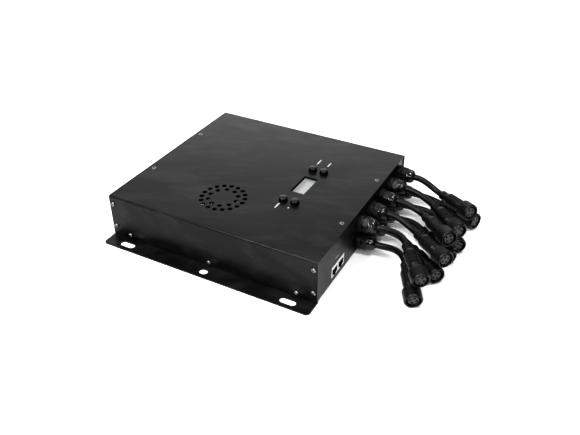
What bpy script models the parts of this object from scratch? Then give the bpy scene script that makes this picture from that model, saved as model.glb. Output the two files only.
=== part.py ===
"""Power supply and controller for strings of stage lights: a folded steel case on two mounting brackets.

The case has a display and four buttons on top, two network sockets and ten output leads on its right
end, and a mains inlet on its left end. Metres, +Z up. The origin is the middle of the case's underside.
"""

import math

import bmesh
import bpy
from mathutils import Matrix, Quaternion, Vector

MM = 0.001
GAP = 0.3 * MM

# Case
CASE_X = 270 * MM
CASE_Y = 252 * MM
CASE_Z = 55 * MM
SHEET = 1.5 * MM
COVER_BEND = 2.4 * MM
END_INSET = 1.0 * MM
LIP = 12 * MM
UPSTAND = 13 * MM

# Mounting brackets
FOOT_DEPTH = 20.5 * MM
FOOT_CORNER = 4.5 * MM
FOOT_HOLE_Y = 11.4 * MM
SLOT_X = 106.3 * MM
SLOT_LONG = 19.5 * MM
SLOT_WIDE = 8.5 * MM
MIDDLE_SLOT_LONG = 10.5 * MM

# Screws
SCREW_HEAD_R = 2.9 * MM
SCREW_HEAD_TALL = 1.5 * MM
SCREW_SHANK_R = 1.3 * MM
SCREW_HOLE_R = 1.75 * MM
CORNER_SCREW_X = 130.3 * MM
CORNER_SCREW_Z = (13.7 * MM, 44.1 * MM)
TOP_SCREW_X = 127 * MM
TOP_SCREW_Y = 50.8 * MM
BRACKET_SCREW_X = 110.5 * MM
BRACKET_SCREW_Z = 6.1 * MM

# Fan and its holes in the cover
FAN_X = -15.1 * MM
FAN_Y = -67.4 * MM
FAN_SIZE = 60 * MM
FAN_TALL = 15 * MM
FAN_BORE_R = 28.5 * MM
FAN_HUB_R = 15 * MM
FAN_HUB_TALL = 11 * MM
FAN_BLADES = 7
FAN_SEAT_R = 13 * MM
FAN_SEAT_TOP = 2.2 * MM
FAN_ARM_WIDE = 4 * MM
VENT_HOLE_R = 2.75 * MM
VENT_RINGS = ((25.4 * MM, 18), (17.2 * MM, 10))

# Display and buttons
WINDOW_X = 54.8 * MM
WINDOW_Y = 0.75 * MM
WINDOW_WIDE = 17.4 * MM
WINDOW_LONG = 37.5 * MM
DISPLAY_TOP = CASE_Z - 2.3 * MM
BUTTON_X = (48.6 * MM, 63.5 * MM)
BUTTON_Y = (-40 * MM, 35.8 * MM)
BUTTON_R = 4.9 * MM
BUTTON_PROUD = 5.4 * MM
BUTTON_HOLE_R = 5.3 * MM
BOARD = 1.6 * MM
DISPLAY_BOARD = ((38 * MM, -52 * MM, 42 * MM), (76 * MM, 52 * MM, 42 * MM + BOARD))
SPACER_INSET = 4 * MM
SPACER_R = 2.5 * MM
SWITCH_SIZE = 6 * MM
SWITCH_TALL = 3.5 * MM
SWITCH_STEM_R = 1.7 * MM
SWITCH_STEM_TOP = 4 * MM
BUTTON_TRAVEL = 1 * MM
BUTTON_STEM_R = 3 * MM
BUTTON_FLANGE = 1.2 * MM

# Power module
MODULE_X = (-125 * MM, 50 * MM)
MODULE_Y = (-118 * MM, -18 * MM)
MODULE_TALL = 33 * MM
MODULE_STEP = 14 * MM
MODULE_STEP_TALL = 15 * MM

# Boards on the floor: the one that feeds the leads, with its strips of terminals, and the network's
OUTPUT_BOARD = ((-60 * MM, -10 * MM, 8 * MM), (126 * MM, 118 * MM, 8 * MM + BOARD))
NETWORK_BOARD = ((60 * MM, -100 * MM, 6.3 * MM), (131 * MM, -30 * MM, 6.3 * MM + BOARD))
TERMINAL_X = (94 * MM, 112 * MM)
TERMINAL_WIDE = 10 * MM
TERMINAL_TALL = 10 * MM
FLOOR_SPACER_R = 3 * MM

# Network sockets, in the right end
JACK_Y = (-89.4 * MM, -57.1 * MM)
JACK_Z = (8.2 * MM, 22.2 * MM)
JACK_DEEP = 20.8 * MM
PORT_Y = (-81.2 * MM, -65.3 * MM)
PORT_Z = 14.1 * MM
PORT_WIDE = 11.9 * MM
PORT_TALL = 6.8 * MM
PORT_DEEP = 13 * MM
PORT_LATCH = ((6.2 * MM, 1.6 * MM), (3.6 * MM, 3.1 * MM))

# Mains inlet, in the left end
INLET_Y = 85 * MM
INLET_Z = 27 * MM
INLET_EARS = 50 * MM
INLET_TALL = 34 * MM
INLET_PLATE = 2.5 * MM
INLET_BODY = (28.5 * MM, 31 * MM, 24 * MM)
INLET_SOCKET = (24.4 * MM, 16.6 * MM, 17 * MM)
INLET_SOCKET_DOWN = 5 * MM
FUSE_UP = 9.3 * MM
FUSE_SIZE = (22 * MM, 7 * MM, 18 * MM)

# Cable glands: two rows of five in the right end
GLAND_FRONT_Y = -17 * MM
GLAND_PITCH = 31 * MM
GLAND_ROWS = {"upper": 38 * MM, "lower": 14 * MM}
GLAND_LONG = 22 * MM
GLAND_THREAD_R = 7.6 * MM
GLAND_HOLE_R = 8.0 * MM
GLAND_FLANGE = 6 * MM
GLAND_FLANGE_R = 11 * MM
GLAND_HEX = 13.2 * MM
GLAND_HEX_R = 10 * MM
LOCKNUT_HEX_R = 10.2 * MM

# Output leads: cable, plug and coupling nut
LEAD_R = 3.75 * MM
LEAD_POINTS = 5
LEAD_STRAIGHT = 2 * MM
PLUG_LONG = 54 * MM
PLUG_R = 7.6 * MM
PLUG_NECK_R = 5.4 * MM
PLUG_FLANGE_R = 7.6 * MM
PLUG_FLANGE = 1.6 * MM
BARREL_R = 6.2 * MM
BARREL_INSET = 2.5 * MM
RIBS = 3
RIB = 3.4 * MM
RIB_R = 5.7 * MM
RIB_GROOVE_R = 4.8 * MM
NUT_R = 10.2 * MM
NUT_BACK = 38.5 * MM
NUT_BACK_WALL = 2 * MM
NUT_BORE_R = 8.1 * MM
NUT_FACE_R = 9.2 * MM
NUT_CHAMFER = 1.5 * MM
NUT_SIDES = 16

# Each lead: its row and column, the point where it enters its plug, the way the plug points, as a
# heading from +X towards +Y and a climb in degrees, and how far the cable keeps straight on from
# its gland and before its plug, as shares of the way between them. The lower plugs lie on the
# surface that the case stands on, and the upper plugs lie across them.
LEADS = (
    ("upper", 1, (196.5, -34.8, 39.7), -53, -8, 0.25, 0.45),
    ("upper", 2, (197, 2, 31), -36.5, 0, 0.35, 0.4),
    ("upper", 3, (194.5, 37, 32.5), -43, 5, 0.3, 0.4),
    ("upper", 4, (197, 60.7, 34), -40, -2.5, 0.3, 0.25),
    ("upper", 5, (195, 101, 27), -34.5, 5, 0.35, 0.4),
    ("lower", 1, (199, -39.3, 17.8), -60, -8, 0.25, 0.5),
    ("lower", 2, (194.2, 0.6, 10.6), -42, 0, 0.33, 0.35),
    ("lower", 3, (193.6, 32.5, 16.2), -35.5, -6, 0.33, 0.45),
    ("lower", 4, (202.2, 66.2, 13.6), -46, -3, 0.3, 0.45),
    ("lower", 5, (193.8, 106.5, 10.6), -21.5, 0, 0.35, 0.4),
)

# Heights and faces that the sizes above set
END_FACE = CASE_X / 2 - END_INSET
COVER_UNDER = CASE_Z - SHEET
SIDE_TOP = COVER_UNDER - GAP
LIP_OUT = CASE_Y / 2 - SHEET - GAP
LIP_IN = LIP_OUT - SHEET
FLOOR_OUT = LIP_IN - GAP
COVER_FOOT = SHEET + GAP


# Materials

def linear(level):
    """Linear value of an sRGB level from 0 to 255."""
    level /= 255
    if level <= 0.04045:
        return level / 12.92
    return ((level + 0.055) / 1.055) ** 2.4


def material(name, colour, roughness, metallic):
    """Plain Principled material in an sRGB colour written as six hex digits."""
    made = bpy.data.materials.new(name)
    made.use_nodes = True
    shader = made.node_tree.nodes["Principled BSDF"]
    levels = [int(colour[i:i + 2], 16) for i in (0, 2, 4)]
    shader.inputs["Base Color"].default_value = [linear(level) for level in levels] + [1]
    shader.inputs["Roughness"].default_value = roughness
    shader.inputs["Metallic"].default_value = metallic
    return made


# Shapes

def new_object(name, form, paint=None):
    """Put a finished bmesh in the scene as one object."""
    bmesh.ops.recalc_face_normals(form, faces=form.faces)
    mesh = bpy.data.meshes.new(name)
    form.to_mesh(mesh)
    form.free()
    made = bpy.data.objects.new(name, mesh)
    bpy.context.scene.collection.objects.link(made)
    if paint:
        mesh.materials.append(paint)
    return made


def add_box(form, low, high):
    """Add a box between two corners."""
    low, high = Vector(low), Vector(high)
    size = Matrix.Diagonal(high - low).to_4x4()
    bmesh.ops.create_cube(form, size=1, matrix=Matrix.Translation((low + high) / 2) @ size)


def add_cylinder(form, radius, start, end, sides=12):
    """Add a closed cylinder from one point to another."""
    start, end = Vector(start), Vector(end)
    along = end - start
    turn = along.to_track_quat("Z", "Y").to_matrix().to_4x4()
    place = Matrix.Translation((start + end) / 2) @ turn
    bmesh.ops.create_cone(
        form, cap_ends=True, segments=sides, radius1=radius, radius2=radius, depth=along.length, matrix=place
    )


def add_plate(form, outline, low, high):
    """Add a flat plate: an outline in X and Y, raised from one height to another."""
    face = form.faces.new([form.verts.new((x, y, low)) for x, y in outline])
    raised = bmesh.ops.extrude_face_region(form, geom=[face])
    moved = [v for v in raised["geom"] if isinstance(v, bmesh.types.BMVert)]
    bmesh.ops.translate(form, verts=moved, vec=(0, 0, high - low))


def add_turned(form, profile, sides, closed=False, place=Matrix()):
    """Add a shape turned about Z from (height, radius, hexagonal) rings, with capped ends or a bore."""
    rings = []
    for height, radius, hexagonal in profile:
        ring = []
        for k in range(sides):
            flat = hexagonal and k % 2
            reach = radius * math.cos(math.pi / 6) if flat else radius
            angle = math.tau * k / sides
            ring.append(form.verts.new(place @ Vector((reach * math.cos(angle), reach * math.sin(angle), height))))
        rings.append(ring)
    pairs = list(zip(rings, rings[1:]))
    if closed:
        pairs.append((rings[-1], rings[0]))
    for below, above in pairs:
        for k in range(sides):
            j = (k + 1) % sides
            form.faces.new((below[k], below[j], above[j], above[k]))
    if not closed:
        form.faces.new(rings[0][::-1])
        form.faces.new(rings[-1])


def arc(centre, radius, start, end, steps):
    """Points along an arc, in degrees."""
    angles = [math.radians(start + (end - start) * k / steps) for k in range(steps + 1)]
    return [(centre[0] + radius * math.cos(a), centre[1] + radius * math.sin(a)) for a in angles]


def slot_outline(centre, long, wide, steps=6):
    """Outline of a slot with round ends, long in X."""
    straight = (long - wide) / 2
    right = arc((centre[0] + straight, centre[1]), wide / 2, -90, 90, steps)
    left = arc((centre[0] - straight, centre[1]), wide / 2, 90, 270, steps)
    return right + left


def tool_object(name, form):
    """A shape that only joins or cuts another: shown as a wire and left out of the object."""
    made = new_object(name, form)
    made.hide_render = True
    made.display_type = "WIRE"
    return made


def combine(target, form, operation):
    """Join a shape to an object, or cut it out."""
    count = len(target.modifiers) + 1
    change = target.modifiers.new(operation.lower(), "BOOLEAN")
    change.operation = operation
    change.solver = "EXACT"
    change.object = tool_object(f"{target.name}_{operation.lower()}_{count}", form)


def aim(made, direction, spin=0):
    """Point an object's own Z along a direction, after a turn about it in degrees."""
    turn = Quaternion((0, 0, 1), math.radians(spin))
    made.rotation_euler = (direction.to_track_quat("Z", "Y") @ turn).to_euler()


def shade(made, degrees=35):
    """Shade round surfaces smooth and keep the edges sharp."""
    made.data.shade_smooth()
    made.data.set_sharp_from_angle(angle=math.radians(degrees))


def add_screw(form, seat, outward, reach):
    """Add a pan head screw: its head's seat, the way that the head faces, and how far its shank goes in."""
    turn = Vector(outward).to_track_quat("Z", "Y").to_matrix().to_4x4()
    profile = (
        (-reach, SCREW_SHANK_R, False),
        (0, SCREW_SHANK_R, False),
        (0, SCREW_HEAD_R, False),
        (SCREW_HEAD_TALL * 0.5, SCREW_HEAD_R, False),
        (SCREW_HEAD_TALL, SCREW_HEAD_R * 0.6, False),
    )
    add_turned(form, profile, 10, place=Matrix.Translation(seat) @ turn)


# Cover: top, front and back in one folded sheet

def cover_section():
    """The cover's section in Y and Z, an upside-down U with round bends."""
    half = CASE_Y / 2
    outer_r = COVER_BEND
    inner_r = COVER_BEND - SHEET
    outside = arc((half - outer_r, CASE_Z - outer_r), outer_r, 0, 90, 3)
    outside += arc((outer_r - half, CASE_Z - outer_r), outer_r, 90, 180, 3)
    inside = arc((outer_r - half, CASE_Z - outer_r), inner_r, 180, 90, 2)
    inside += arc((half - outer_r, CASE_Z - outer_r), inner_r, 90, 0, 2)
    feet_left = [(-half, COVER_FOOT), (SHEET - half, COVER_FOOT)]
    feet_right = [(half - SHEET, COVER_FOOT), (half, COVER_FOOT)]
    return outside + feet_left + inside + feet_right


def make_cover(paint):
    form = bmesh.new()
    face = form.faces.new([form.verts.new((-CASE_X / 2, y, z)) for y, z in cover_section()])
    raised = bmesh.ops.extrude_face_region(form, geom=[face])
    moved = [v for v in raised["geom"] if isinstance(v, bmesh.types.BMVert)]
    bmesh.ops.translate(form, verts=moved, vec=(CASE_X, 0, 0))
    cover = new_object("top_cover", form, paint)

    # Four spacers under the top carry the display's board
    spacers = bmesh.new()
    (x_low, y_low, _), (x_high, y_high, board_top) = DISPLAY_BOARD
    for x in (x_low + SPACER_INSET, x_high - SPACER_INSET):
        for y in (y_low + SPACER_INSET, y_high - SPACER_INSET):
            add_cylinder(spacers, SPACER_R, (x, y, board_top + GAP), (x, y, COVER_UNDER + SHEET / 2), 8)
    combine(cover, spacers, "UNION")

    # Holes in the top: air, display, buttons and screws
    holes = bmesh.new()
    low, high = COVER_UNDER - 1 * MM, CASE_Z + 1 * MM
    for radius, count in VENT_RINGS:
        for k in range(count):
            angle = math.tau * k / count
            x = FAN_X + radius * math.cos(angle)
            y = FAN_Y + radius * math.sin(angle)
            add_cylinder(holes, VENT_HOLE_R, (x, y, low), (x, y, high), 10)
    window_low = (WINDOW_X - WINDOW_WIDE / 2, WINDOW_Y - WINDOW_LONG / 2, low)
    window_high = (WINDOW_X + WINDOW_WIDE / 2, WINDOW_Y + WINDOW_LONG / 2, high)
    add_box(holes, window_low, window_high)
    for x in BUTTON_X:
        for y in BUTTON_Y:
            add_cylinder(holes, BUTTON_HOLE_R, (x, y, low), (x, y, high), 16)
    for x in (-TOP_SCREW_X, TOP_SCREW_X):
        for y in (-TOP_SCREW_Y, TOP_SCREW_Y):
            add_cylinder(holes, SCREW_HOLE_R, (x, y, low), (x, y, high), 8)

    # Holes through the front and back: case screws and bracket screws
    for side in (-1, 1):
        inner = side * (CASE_Y / 2 - SHEET - 0.15 * MM)
        outer = side * (CASE_Y / 2 + 1 * MM)
        for x in (-CORNER_SCREW_X, CORNER_SCREW_X):
            for z in CORNER_SCREW_Z:
                add_cylinder(holes, SCREW_HOLE_R, (x, inner, z), (x, outer, z), 8)
        for x in (-BRACKET_SCREW_X, 0, BRACKET_SCREW_X):
            add_cylinder(holes, SCREW_HOLE_R, (x, inner, BRACKET_SCREW_Z), (x, outer, BRACKET_SCREW_Z), 8)
    combine(cover, holes, "DIFFERENCE")
    shade(cover)


# Chassis: floor, two ends and their lips in one folded sheet, with its spacers and screws

def chassis_section():
    """The chassis's section in X and Z: floor, ends and the lips that meet the cover."""
    out = END_FACE
    inner = END_FACE - SHEET
    lip = END_FACE - LIP
    lip_under = SIDE_TOP - SHEET
    right = [(out, 0), (out, SIDE_TOP), (lip, SIDE_TOP), (lip, lip_under), (inner, lip_under), (inner, SHEET)]
    left = [(-x, z) for x, z in reversed(right)]
    return right + left


def make_chassis(paint, gland_seats):
    form = bmesh.new()
    length = FLOOR_OUT - 0.4 * MM
    face = form.faces.new([form.verts.new((x, -length, z)) for x, z in chassis_section()])
    raised = bmesh.ops.extrude_face_region(form, geom=[face])
    moved = [v for v in raised["geom"] if isinstance(v, bmesh.types.BMVert)]
    bmesh.ops.translate(form, verts=moved, vec=(0, 2 * length, 0))
    chassis = new_object("chassis_tray", form, paint)

    # Lips at the corners take the case screws, upstands meet the brackets, spacers carry the boards
    folds = bmesh.new()
    for side in (-1, 1):
        for end in (-1, 1):
            x_edges = sorted((end * (END_FACE - LIP), end * END_FACE))
            y_edges = sorted((side * (length - 0.5 * MM), side * LIP_OUT))
            add_box(folds, (x_edges[0], y_edges[0], COVER_FOOT), (x_edges[1], y_edges[1], SIDE_TOP))
        y_edges = sorted((side * (FLOOR_OUT - SHEET), side * FLOOR_OUT))
        reach = END_FACE - LIP - 3 * MM
        add_box(folds, (-reach, y_edges[0], SHEET / 2), (reach, y_edges[1], UPSTAND))
    for x, y, high in board_spacers():
        add_cylinder(folds, FLOOR_SPACER_R, (x, y, SHEET / 2), (x, y, high), 8)
    combine(chassis, folds, "UNION")

    # Openings in the ends: glands, network sockets and mains inlet
    holes = bmesh.new()
    for seat in gland_seats:
        add_cylinder(holes, GLAND_HOLE_R, seat - Vector((4 * MM, 0, 0)), seat + Vector((2 * MM, 0, 0)), 16)
    add_box(
        holes,
        (END_FACE - 4 * MM, JACK_Y[0] - GAP, JACK_Z[0] - GAP),
        (END_FACE + 2 * MM, JACK_Y[1] + GAP, JACK_Z[1] + GAP),
    )
    wide, tall, deep = INLET_BODY
    add_box(
        holes,
        (-END_FACE - 2 * MM, INLET_Y - wide / 2 - GAP, INLET_Z - tall / 2 - GAP),
        (-END_FACE + 4 * MM, INLET_Y + wide / 2 + GAP, INLET_Z + tall / 2 + GAP),
    )
    for side in (-1, 1):
        for x in (-BRACKET_SCREW_X, 0, BRACKET_SCREW_X):
            start = (x, side * (FLOOR_OUT - 3 * MM), BRACKET_SCREW_Z)
            end = (x, side * (FLOOR_OUT + 1 * MM), BRACKET_SCREW_Z)
            add_cylinder(holes, SCREW_HOLE_R, start, end, 8)
    combine(chassis, holes, "DIFFERENCE")

    # The screws through the cover bite half way into the lips
    screws = bmesh.new()
    reach = GAP + SHEET + GAP + SHEET * 0.6
    for x in (-CORNER_SCREW_X, CORNER_SCREW_X):
        for side in (-1, 1):
            for z in CORNER_SCREW_Z:
                add_screw(screws, (x, side * (CASE_Y / 2 + GAP), z), (0, side, 0), reach)
    for x in (-TOP_SCREW_X, TOP_SCREW_X):
        for y in (-TOP_SCREW_Y, TOP_SCREW_Y):
            add_screw(screws, (x, y, CASE_Z + GAP), (0, 0, 1), reach)
    combine(chassis, screws, "UNION")
    shade(chassis)


def board_spacers():
    """Where the floor's spacers stand, and how high they reach."""
    spacers = []
    for board, inset in ((NETWORK_BOARD, 5 * MM), (OUTPUT_BOARD, 6 * MM)):
        (x_low, y_low, under), (x_high, y_high, _) = board
        for x in (x_low + inset, x_high - inset):
            for y in (y_low + inset, y_high - inset):
                spacers.append((x, y, under - GAP))
    return spacers


# Mounting brackets: an angle under the front and one under the back

def make_bracket(name, paint):
    """The front bracket: a foot with slots, a leg behind the cover's front, and its three screws."""
    half = CASE_X / 2
    front = -CASE_Y / 2 - FOOT_DEPTH
    r = FOOT_CORNER
    outline = arc((r - half, front + r), r, 180, 270, 4)
    outline += arc((half - r, front + r), r, 270, 360, 4)
    outline += [(half, -LIP_IN - 0.2 * MM), (-half, -LIP_IN - 0.2 * MM)]
    form = bmesh.new()
    add_plate(form, outline, 0, SHEET)
    bracket = new_object(name, form, paint)

    leg = bmesh.new()
    reach = END_FACE - LIP - 3 * MM
    add_box(leg, (-reach, -LIP_OUT, SHEET / 2), (reach, -LIP_IN, UPSTAND))
    combine(bracket, leg, "UNION")

    slots = bmesh.new()
    y = -CASE_Y / 2 - FOOT_HOLE_Y
    for x, long in ((-SLOT_X, SLOT_LONG), (0, MIDDLE_SLOT_LONG), (SLOT_X, SLOT_LONG)):
        add_plate(slots, slot_outline((x, y), long, SLOT_WIDE), -2 * MM, SHEET + 2 * MM)
    combine(bracket, slots, "DIFFERENCE")

    screws = bmesh.new()
    reach = CASE_Y / 2 + GAP - FLOOR_OUT + SHEET + 1 * MM
    for x in (-BRACKET_SCREW_X, 0, BRACKET_SCREW_X):
        add_screw(screws, (x, -CASE_Y / 2 - GAP, BRACKET_SCREW_Z), (0, -1, 0), reach)
    combine(bracket, screws, "UNION")
    shade(bracket)
    return bracket


def turn_half(made):
    """Turn an object and its tools half way round the case."""
    tools = [change.object for change in made.modifiers]
    for piece in [made] + tools:
        piece.rotation_euler = (0, 0, math.pi)


# Display, its board and the four buttons

def make_display(glass_paint, frame_paint, board_paint):
    form = bmesh.new()
    wide, long = WINDOW_WIDE / 2 + 2.4 * MM, WINDOW_LONG / 2 + 2.6 * MM
    glass_low = DISPLAY_TOP - 1.5 * MM
    add_box(form, (WINDOW_X - wide, WINDOW_Y - long, glass_low), (WINDOW_X + wide, WINDOW_Y + long, DISPLAY_TOP))
    new_object("display_glass", form, glass_paint)

    form = bmesh.new()
    wide, long = wide + 1 * MM, long + 3 * MM
    board_top = DISPLAY_BOARD[1][2]
    low = (WINDOW_X - wide, WINDOW_Y - long, board_top + GAP)
    add_box(form, low, (WINDOW_X + wide, WINDOW_Y + long, glass_low - GAP))
    new_object("display_module", form, frame_paint)

    form = bmesh.new()
    add_box(form, *DISPLAY_BOARD)
    board = new_object("display_board", form, board_paint)
    switches = bmesh.new()
    stems = bmesh.new()
    half = SWITCH_SIZE / 2
    for x in BUTTON_X:
        for y in BUTTON_Y:
            low = (x - half, y - half, board_top - BOARD / 3)
            add_box(switches, low, (x + half, y + half, board_top + SWITCH_TALL))
            low = (x, y, board_top + SWITCH_TALL / 2)
            add_cylinder(stems, SWITCH_STEM_R, low, (x, y, board_top + SWITCH_STEM_TOP), 8)
    combine(board, switches, "UNION")
    combine(board, stems, "UNION")


def make_button(name, x, y, paint):
    """A round cap with a flange that stays under the cover, one travel above its switch."""
    low = DISPLAY_BOARD[1][2] + SWITCH_STEM_TOP + BUTTON_TRAVEL + GAP
    top = CASE_Z + BUTTON_PROUD
    flange = COVER_UNDER - GAP
    flange_r = BUTTON_HOLE_R + 0.8 * MM
    profile = (
        (low - flange, BUTTON_STEM_R, False),
        (-BUTTON_FLANGE, BUTTON_STEM_R, False),
        (-BUTTON_FLANGE, flange_r, False),
        (0, flange_r, False),
        (0, BUTTON_R, False),
        (top - flange - 0.9 * MM, BUTTON_R, False),
        (top - flange, BUTTON_R - 1 * MM, False),
    )
    form = bmesh.new()
    add_turned(form, profile, 14)
    button = new_object(name, form, paint)
    button.location = (x, y, flange)
    shade(button)


# Power module, fan and boards

def make_module(paint):
    """The power module: a closed metal case with a step for its row of terminals."""
    form = bmesh.new()
    low = SHEET + GAP
    body_end = MODULE_X[1] - MODULE_STEP
    add_box(form, (MODULE_X[0], MODULE_Y[0], low), (body_end, MODULE_Y[1], low + MODULE_TALL))
    module = new_object("power_module", form, paint)
    terminals = bmesh.new()
    inset = 3 * MM
    add_box(
        terminals,
        (body_end - 2 * MM, MODULE_Y[0] + inset, low),
        (MODULE_X[1], MODULE_Y[1] - inset, low + MODULE_STEP_TALL),
    )
    combine(module, terminals, "UNION")


def make_fan(frame_paint, rotor_paint):
    base = SHEET + GAP + MODULE_TALL + GAP
    half = FAN_SIZE / 2
    form = bmesh.new()
    add_box(form, (-half, -half, 0), (half, half, FAN_TALL))
    frame = new_object("fan_frame", form, frame_paint)
    frame.location = (FAN_X, FAN_Y, base)
    bore = bmesh.new()
    add_cylinder(bore, FAN_BORE_R, (0, 0, -2 * MM), (0, 0, FAN_TALL + 2 * MM), 24)
    combine(frame, bore, "DIFFERENCE")

    # Three arms hold the motor's seat under the rotor
    seat = bmesh.new()
    add_cylinder(seat, FAN_SEAT_R, (0, 0, 0.4 * MM), (0, 0, FAN_SEAT_TOP), 16)
    arms = bmesh.new()
    for k in range(3):
        form = bmesh.new()
        low = (FAN_SEAT_R - 3 * MM, -FAN_ARM_WIDE / 2, 0.6 * MM)
        add_box(form, low, (FAN_BORE_R + 0.8 * MM, FAN_ARM_WIDE / 2, FAN_SEAT_TOP - 0.2 * MM))
        bmesh.ops.rotate(form, cent=(0, 0, 0), matrix=Matrix.Rotation(math.tau * k / 3, 3, "Z"), verts=form.verts)
        arm = bpy.data.meshes.new("fan_arm")
        form.to_mesh(arm)
        form.free()
        arms.from_mesh(arm)
        bpy.data.meshes.remove(arm)
    combine(frame, arms, "UNION")
    combine(frame, seat, "UNION")
    for change in frame.modifiers:
        change.object.location = frame.location
    shade(frame)

    # The rotor: a hub with curved, pitched blades
    form = bmesh.new()
    add_cylinder(form, FAN_HUB_R, (0, 0, 0), (0, 0, FAN_HUB_TALL), 18)
    rotor = new_object("fan_rotor", form, rotor_paint)
    rotor.location = (FAN_X, FAN_Y, base + FAN_SEAT_TOP + 2 * GAP)
    blades = bmesh.new()
    for k in range(FAN_BLADES):
        add_blade(blades, math.tau * k / FAN_BLADES)
    combine(rotor, blades, "UNION")
    for change in rotor.modifiers:
        change.object.location = rotor.location
    shade(rotor)


def add_blade(form, start):
    """Add one blade: stations from the hub to the tip, each a thin strip pitched across the height."""
    stations = 4
    thick = 1.2 * MM
    rows = []
    for s in range(stations):
        t = s / (stations - 1)
        radius = FAN_HUB_R - thick + t * (FAN_BORE_R - FAN_HUB_R - 0.2 * MM)
        sweep = start + 0.16 * t
        half_chord = math.radians(17 - 3 * t)
        row = []
        for side, height in ((-1, FAN_HUB_TALL - 1.4 * MM), (1, 1.6 * MM)):
            angle = sweep + side * half_chord
            for lift in (thick / 2, -thick / 2):
                point = Vector((radius * math.cos(angle), radius * math.sin(angle), height + lift))
                row.append(form.verts.new(point))
        rows.append([row[0], row[2], row[3], row[1]])
    for near, far in zip(rows, rows[1:]):
        for k in range(4):
            j = (k + 1) % 4
            form.faces.new((near[k], near[j], far[j], far[k]))
    form.faces.new(rows[0][::-1])
    form.faces.new(rows[-1])


def make_output_board(paint):
    """The board that feeds the leads, with a strip of terminals for each row of glands."""
    form = bmesh.new()
    add_box(form, *OUTPUT_BOARD)
    board = new_object("output_board", form, paint)
    strips = bmesh.new()
    low, high = OUTPUT_BOARD
    inset = 3 * MM
    for x in TERMINAL_X:
        add_box(
            strips,
            (x - TERMINAL_WIDE / 2, low[1] + inset, high[2] - BOARD / 3),
            (x + TERMINAL_WIDE / 2, high[1] - inset, high[2] + TERMINAL_TALL),
        )
    combine(board, strips, "UNION")


def make_network(board_paint, jack_paint):
    form = bmesh.new()
    add_box(form, *NETWORK_BOARD)
    new_object("network_board", form, board_paint)

    form = bmesh.new()
    front = END_FACE + GAP
    add_box(form, (front - JACK_DEEP, JACK_Y[0], JACK_Z[0]), (front, JACK_Y[1], JACK_Z[1]))
    jacks = new_object("network_sockets", form, jack_paint)

    # Each socket is one cavity: the wide mouth, and the two steps of the latch under it
    (wide_step, drop_step), (narrow_step, drop_narrow) = PORT_LATCH
    low = PORT_Z - PORT_TALL / 2
    high = PORT_Z + PORT_TALL / 2
    ports = bmesh.new()
    for y in PORT_Y:
        outline = [
            (PORT_WIDE / 2, high), (-PORT_WIDE / 2, high), (-PORT_WIDE / 2, low), (-wide_step / 2, low),
            (-wide_step / 2, low - drop_step), (-narrow_step / 2, low - drop_step), (-narrow_step / 2, low - drop_narrow),
            (narrow_step / 2, low - drop_narrow), (narrow_step / 2, low - drop_step), (wide_step / 2, low - drop_step),
            (wide_step / 2, low), (PORT_WIDE / 2, low),
        ]
        face = ports.faces.new([ports.verts.new((front - PORT_DEEP, y + across, z)) for across, z in outline])
        raised = bmesh.ops.extrude_face_region(ports, geom=[face])
        moved = [v for v in raised["geom"] if isinstance(v, bmesh.types.BMVert)]
        bmesh.ops.translate(ports, verts=moved, vec=(PORT_DEEP + 2 * MM, 0, 0))
    combine(jacks, ports, "DIFFERENCE")


# Mains inlet with its fuse drawer

def make_inlet(inlet_paint, drawer_paint):
    outer = -END_FACE - GAP
    wide, tall, deep = INLET_BODY
    form = bmesh.new()
    half_tall = INLET_TALL / 2
    half_ears = INLET_EARS / 2
    half_wide = wide / 2 + 2 * MM
    outline = [
        (half_ears, -5 * MM), (half_ears, 5 * MM), (half_wide, half_tall), (-half_wide, half_tall),
        (-half_ears, 5 * MM), (-half_ears, -5 * MM), (-half_wide, -half_tall), (half_wide, -half_tall),
    ]
    face = form.faces.new([form.verts.new((outer, INLET_Y + y, INLET_Z + z)) for y, z in outline])
    raised = bmesh.ops.extrude_face_region(form, geom=[face])
    moved = [v for v in raised["geom"] if isinstance(v, bmesh.types.BMVert)]
    bmesh.ops.translate(form, verts=moved, vec=(-INLET_PLATE, 0, 0))
    inlet = new_object("mains_inlet", form, inlet_paint)

    body = bmesh.new()
    add_box(
        body,
        (outer - 1 * MM, INLET_Y - wide / 2, INLET_Z - tall / 2),
        (outer + deep, INLET_Y + wide / 2, INLET_Z + tall / 2),
    )
    combine(inlet, body, "UNION")

    # The socket, and the slide of the fuse drawer above it
    face_x = outer - INLET_PLATE
    wide, tall, deep = INLET_SOCKET
    middle = INLET_Z - INLET_SOCKET_DOWN
    cavities = bmesh.new()
    add_box(
        cavities,
        (face_x - 2 * MM, INLET_Y - wide / 2, middle - tall / 2),
        (face_x + deep, INLET_Y + wide / 2, middle + tall / 2),
    )
    drawer_wide, drawer_tall, drawer_deep = FUSE_SIZE
    drawer_z = INLET_Z + FUSE_UP
    add_box(
        cavities,
        (face_x - 2 * MM, INLET_Y - drawer_wide / 2, drawer_z - drawer_tall / 2),
        (face_x + drawer_deep, INLET_Y + drawer_wide / 2, drawer_z + drawer_tall / 2),
    )
    combine(inlet, cavities, "DIFFERENCE")

    # Three flat pins: line, earth and neutral
    pins = bmesh.new()
    for y, z in ((-7 * MM, -2 * MM), (0, 2 * MM), (7 * MM, -2 * MM)):
        add_box(
            pins,
            (face_x + 3 * MM, INLET_Y + y - 1 * MM, middle + z - 2 * MM),
            (face_x + deep + 1 * MM, INLET_Y + y + 1 * MM, middle + z + 2 * MM),
        )
    combine(inlet, pins, "UNION")

    form = bmesh.new()
    clear = 0.35 * MM
    half = (drawer_wide / 2 - clear, drawer_tall / 2 - clear)
    add_box(form, (-1.2 * MM, -half[0], -half[1]), (drawer_deep - 0.6 * MM, half[0], half[1]))
    drawer = new_object("fuse_drawer", form, drawer_paint)
    drawer.location = (face_x, INLET_Y, drawer_z)


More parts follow.
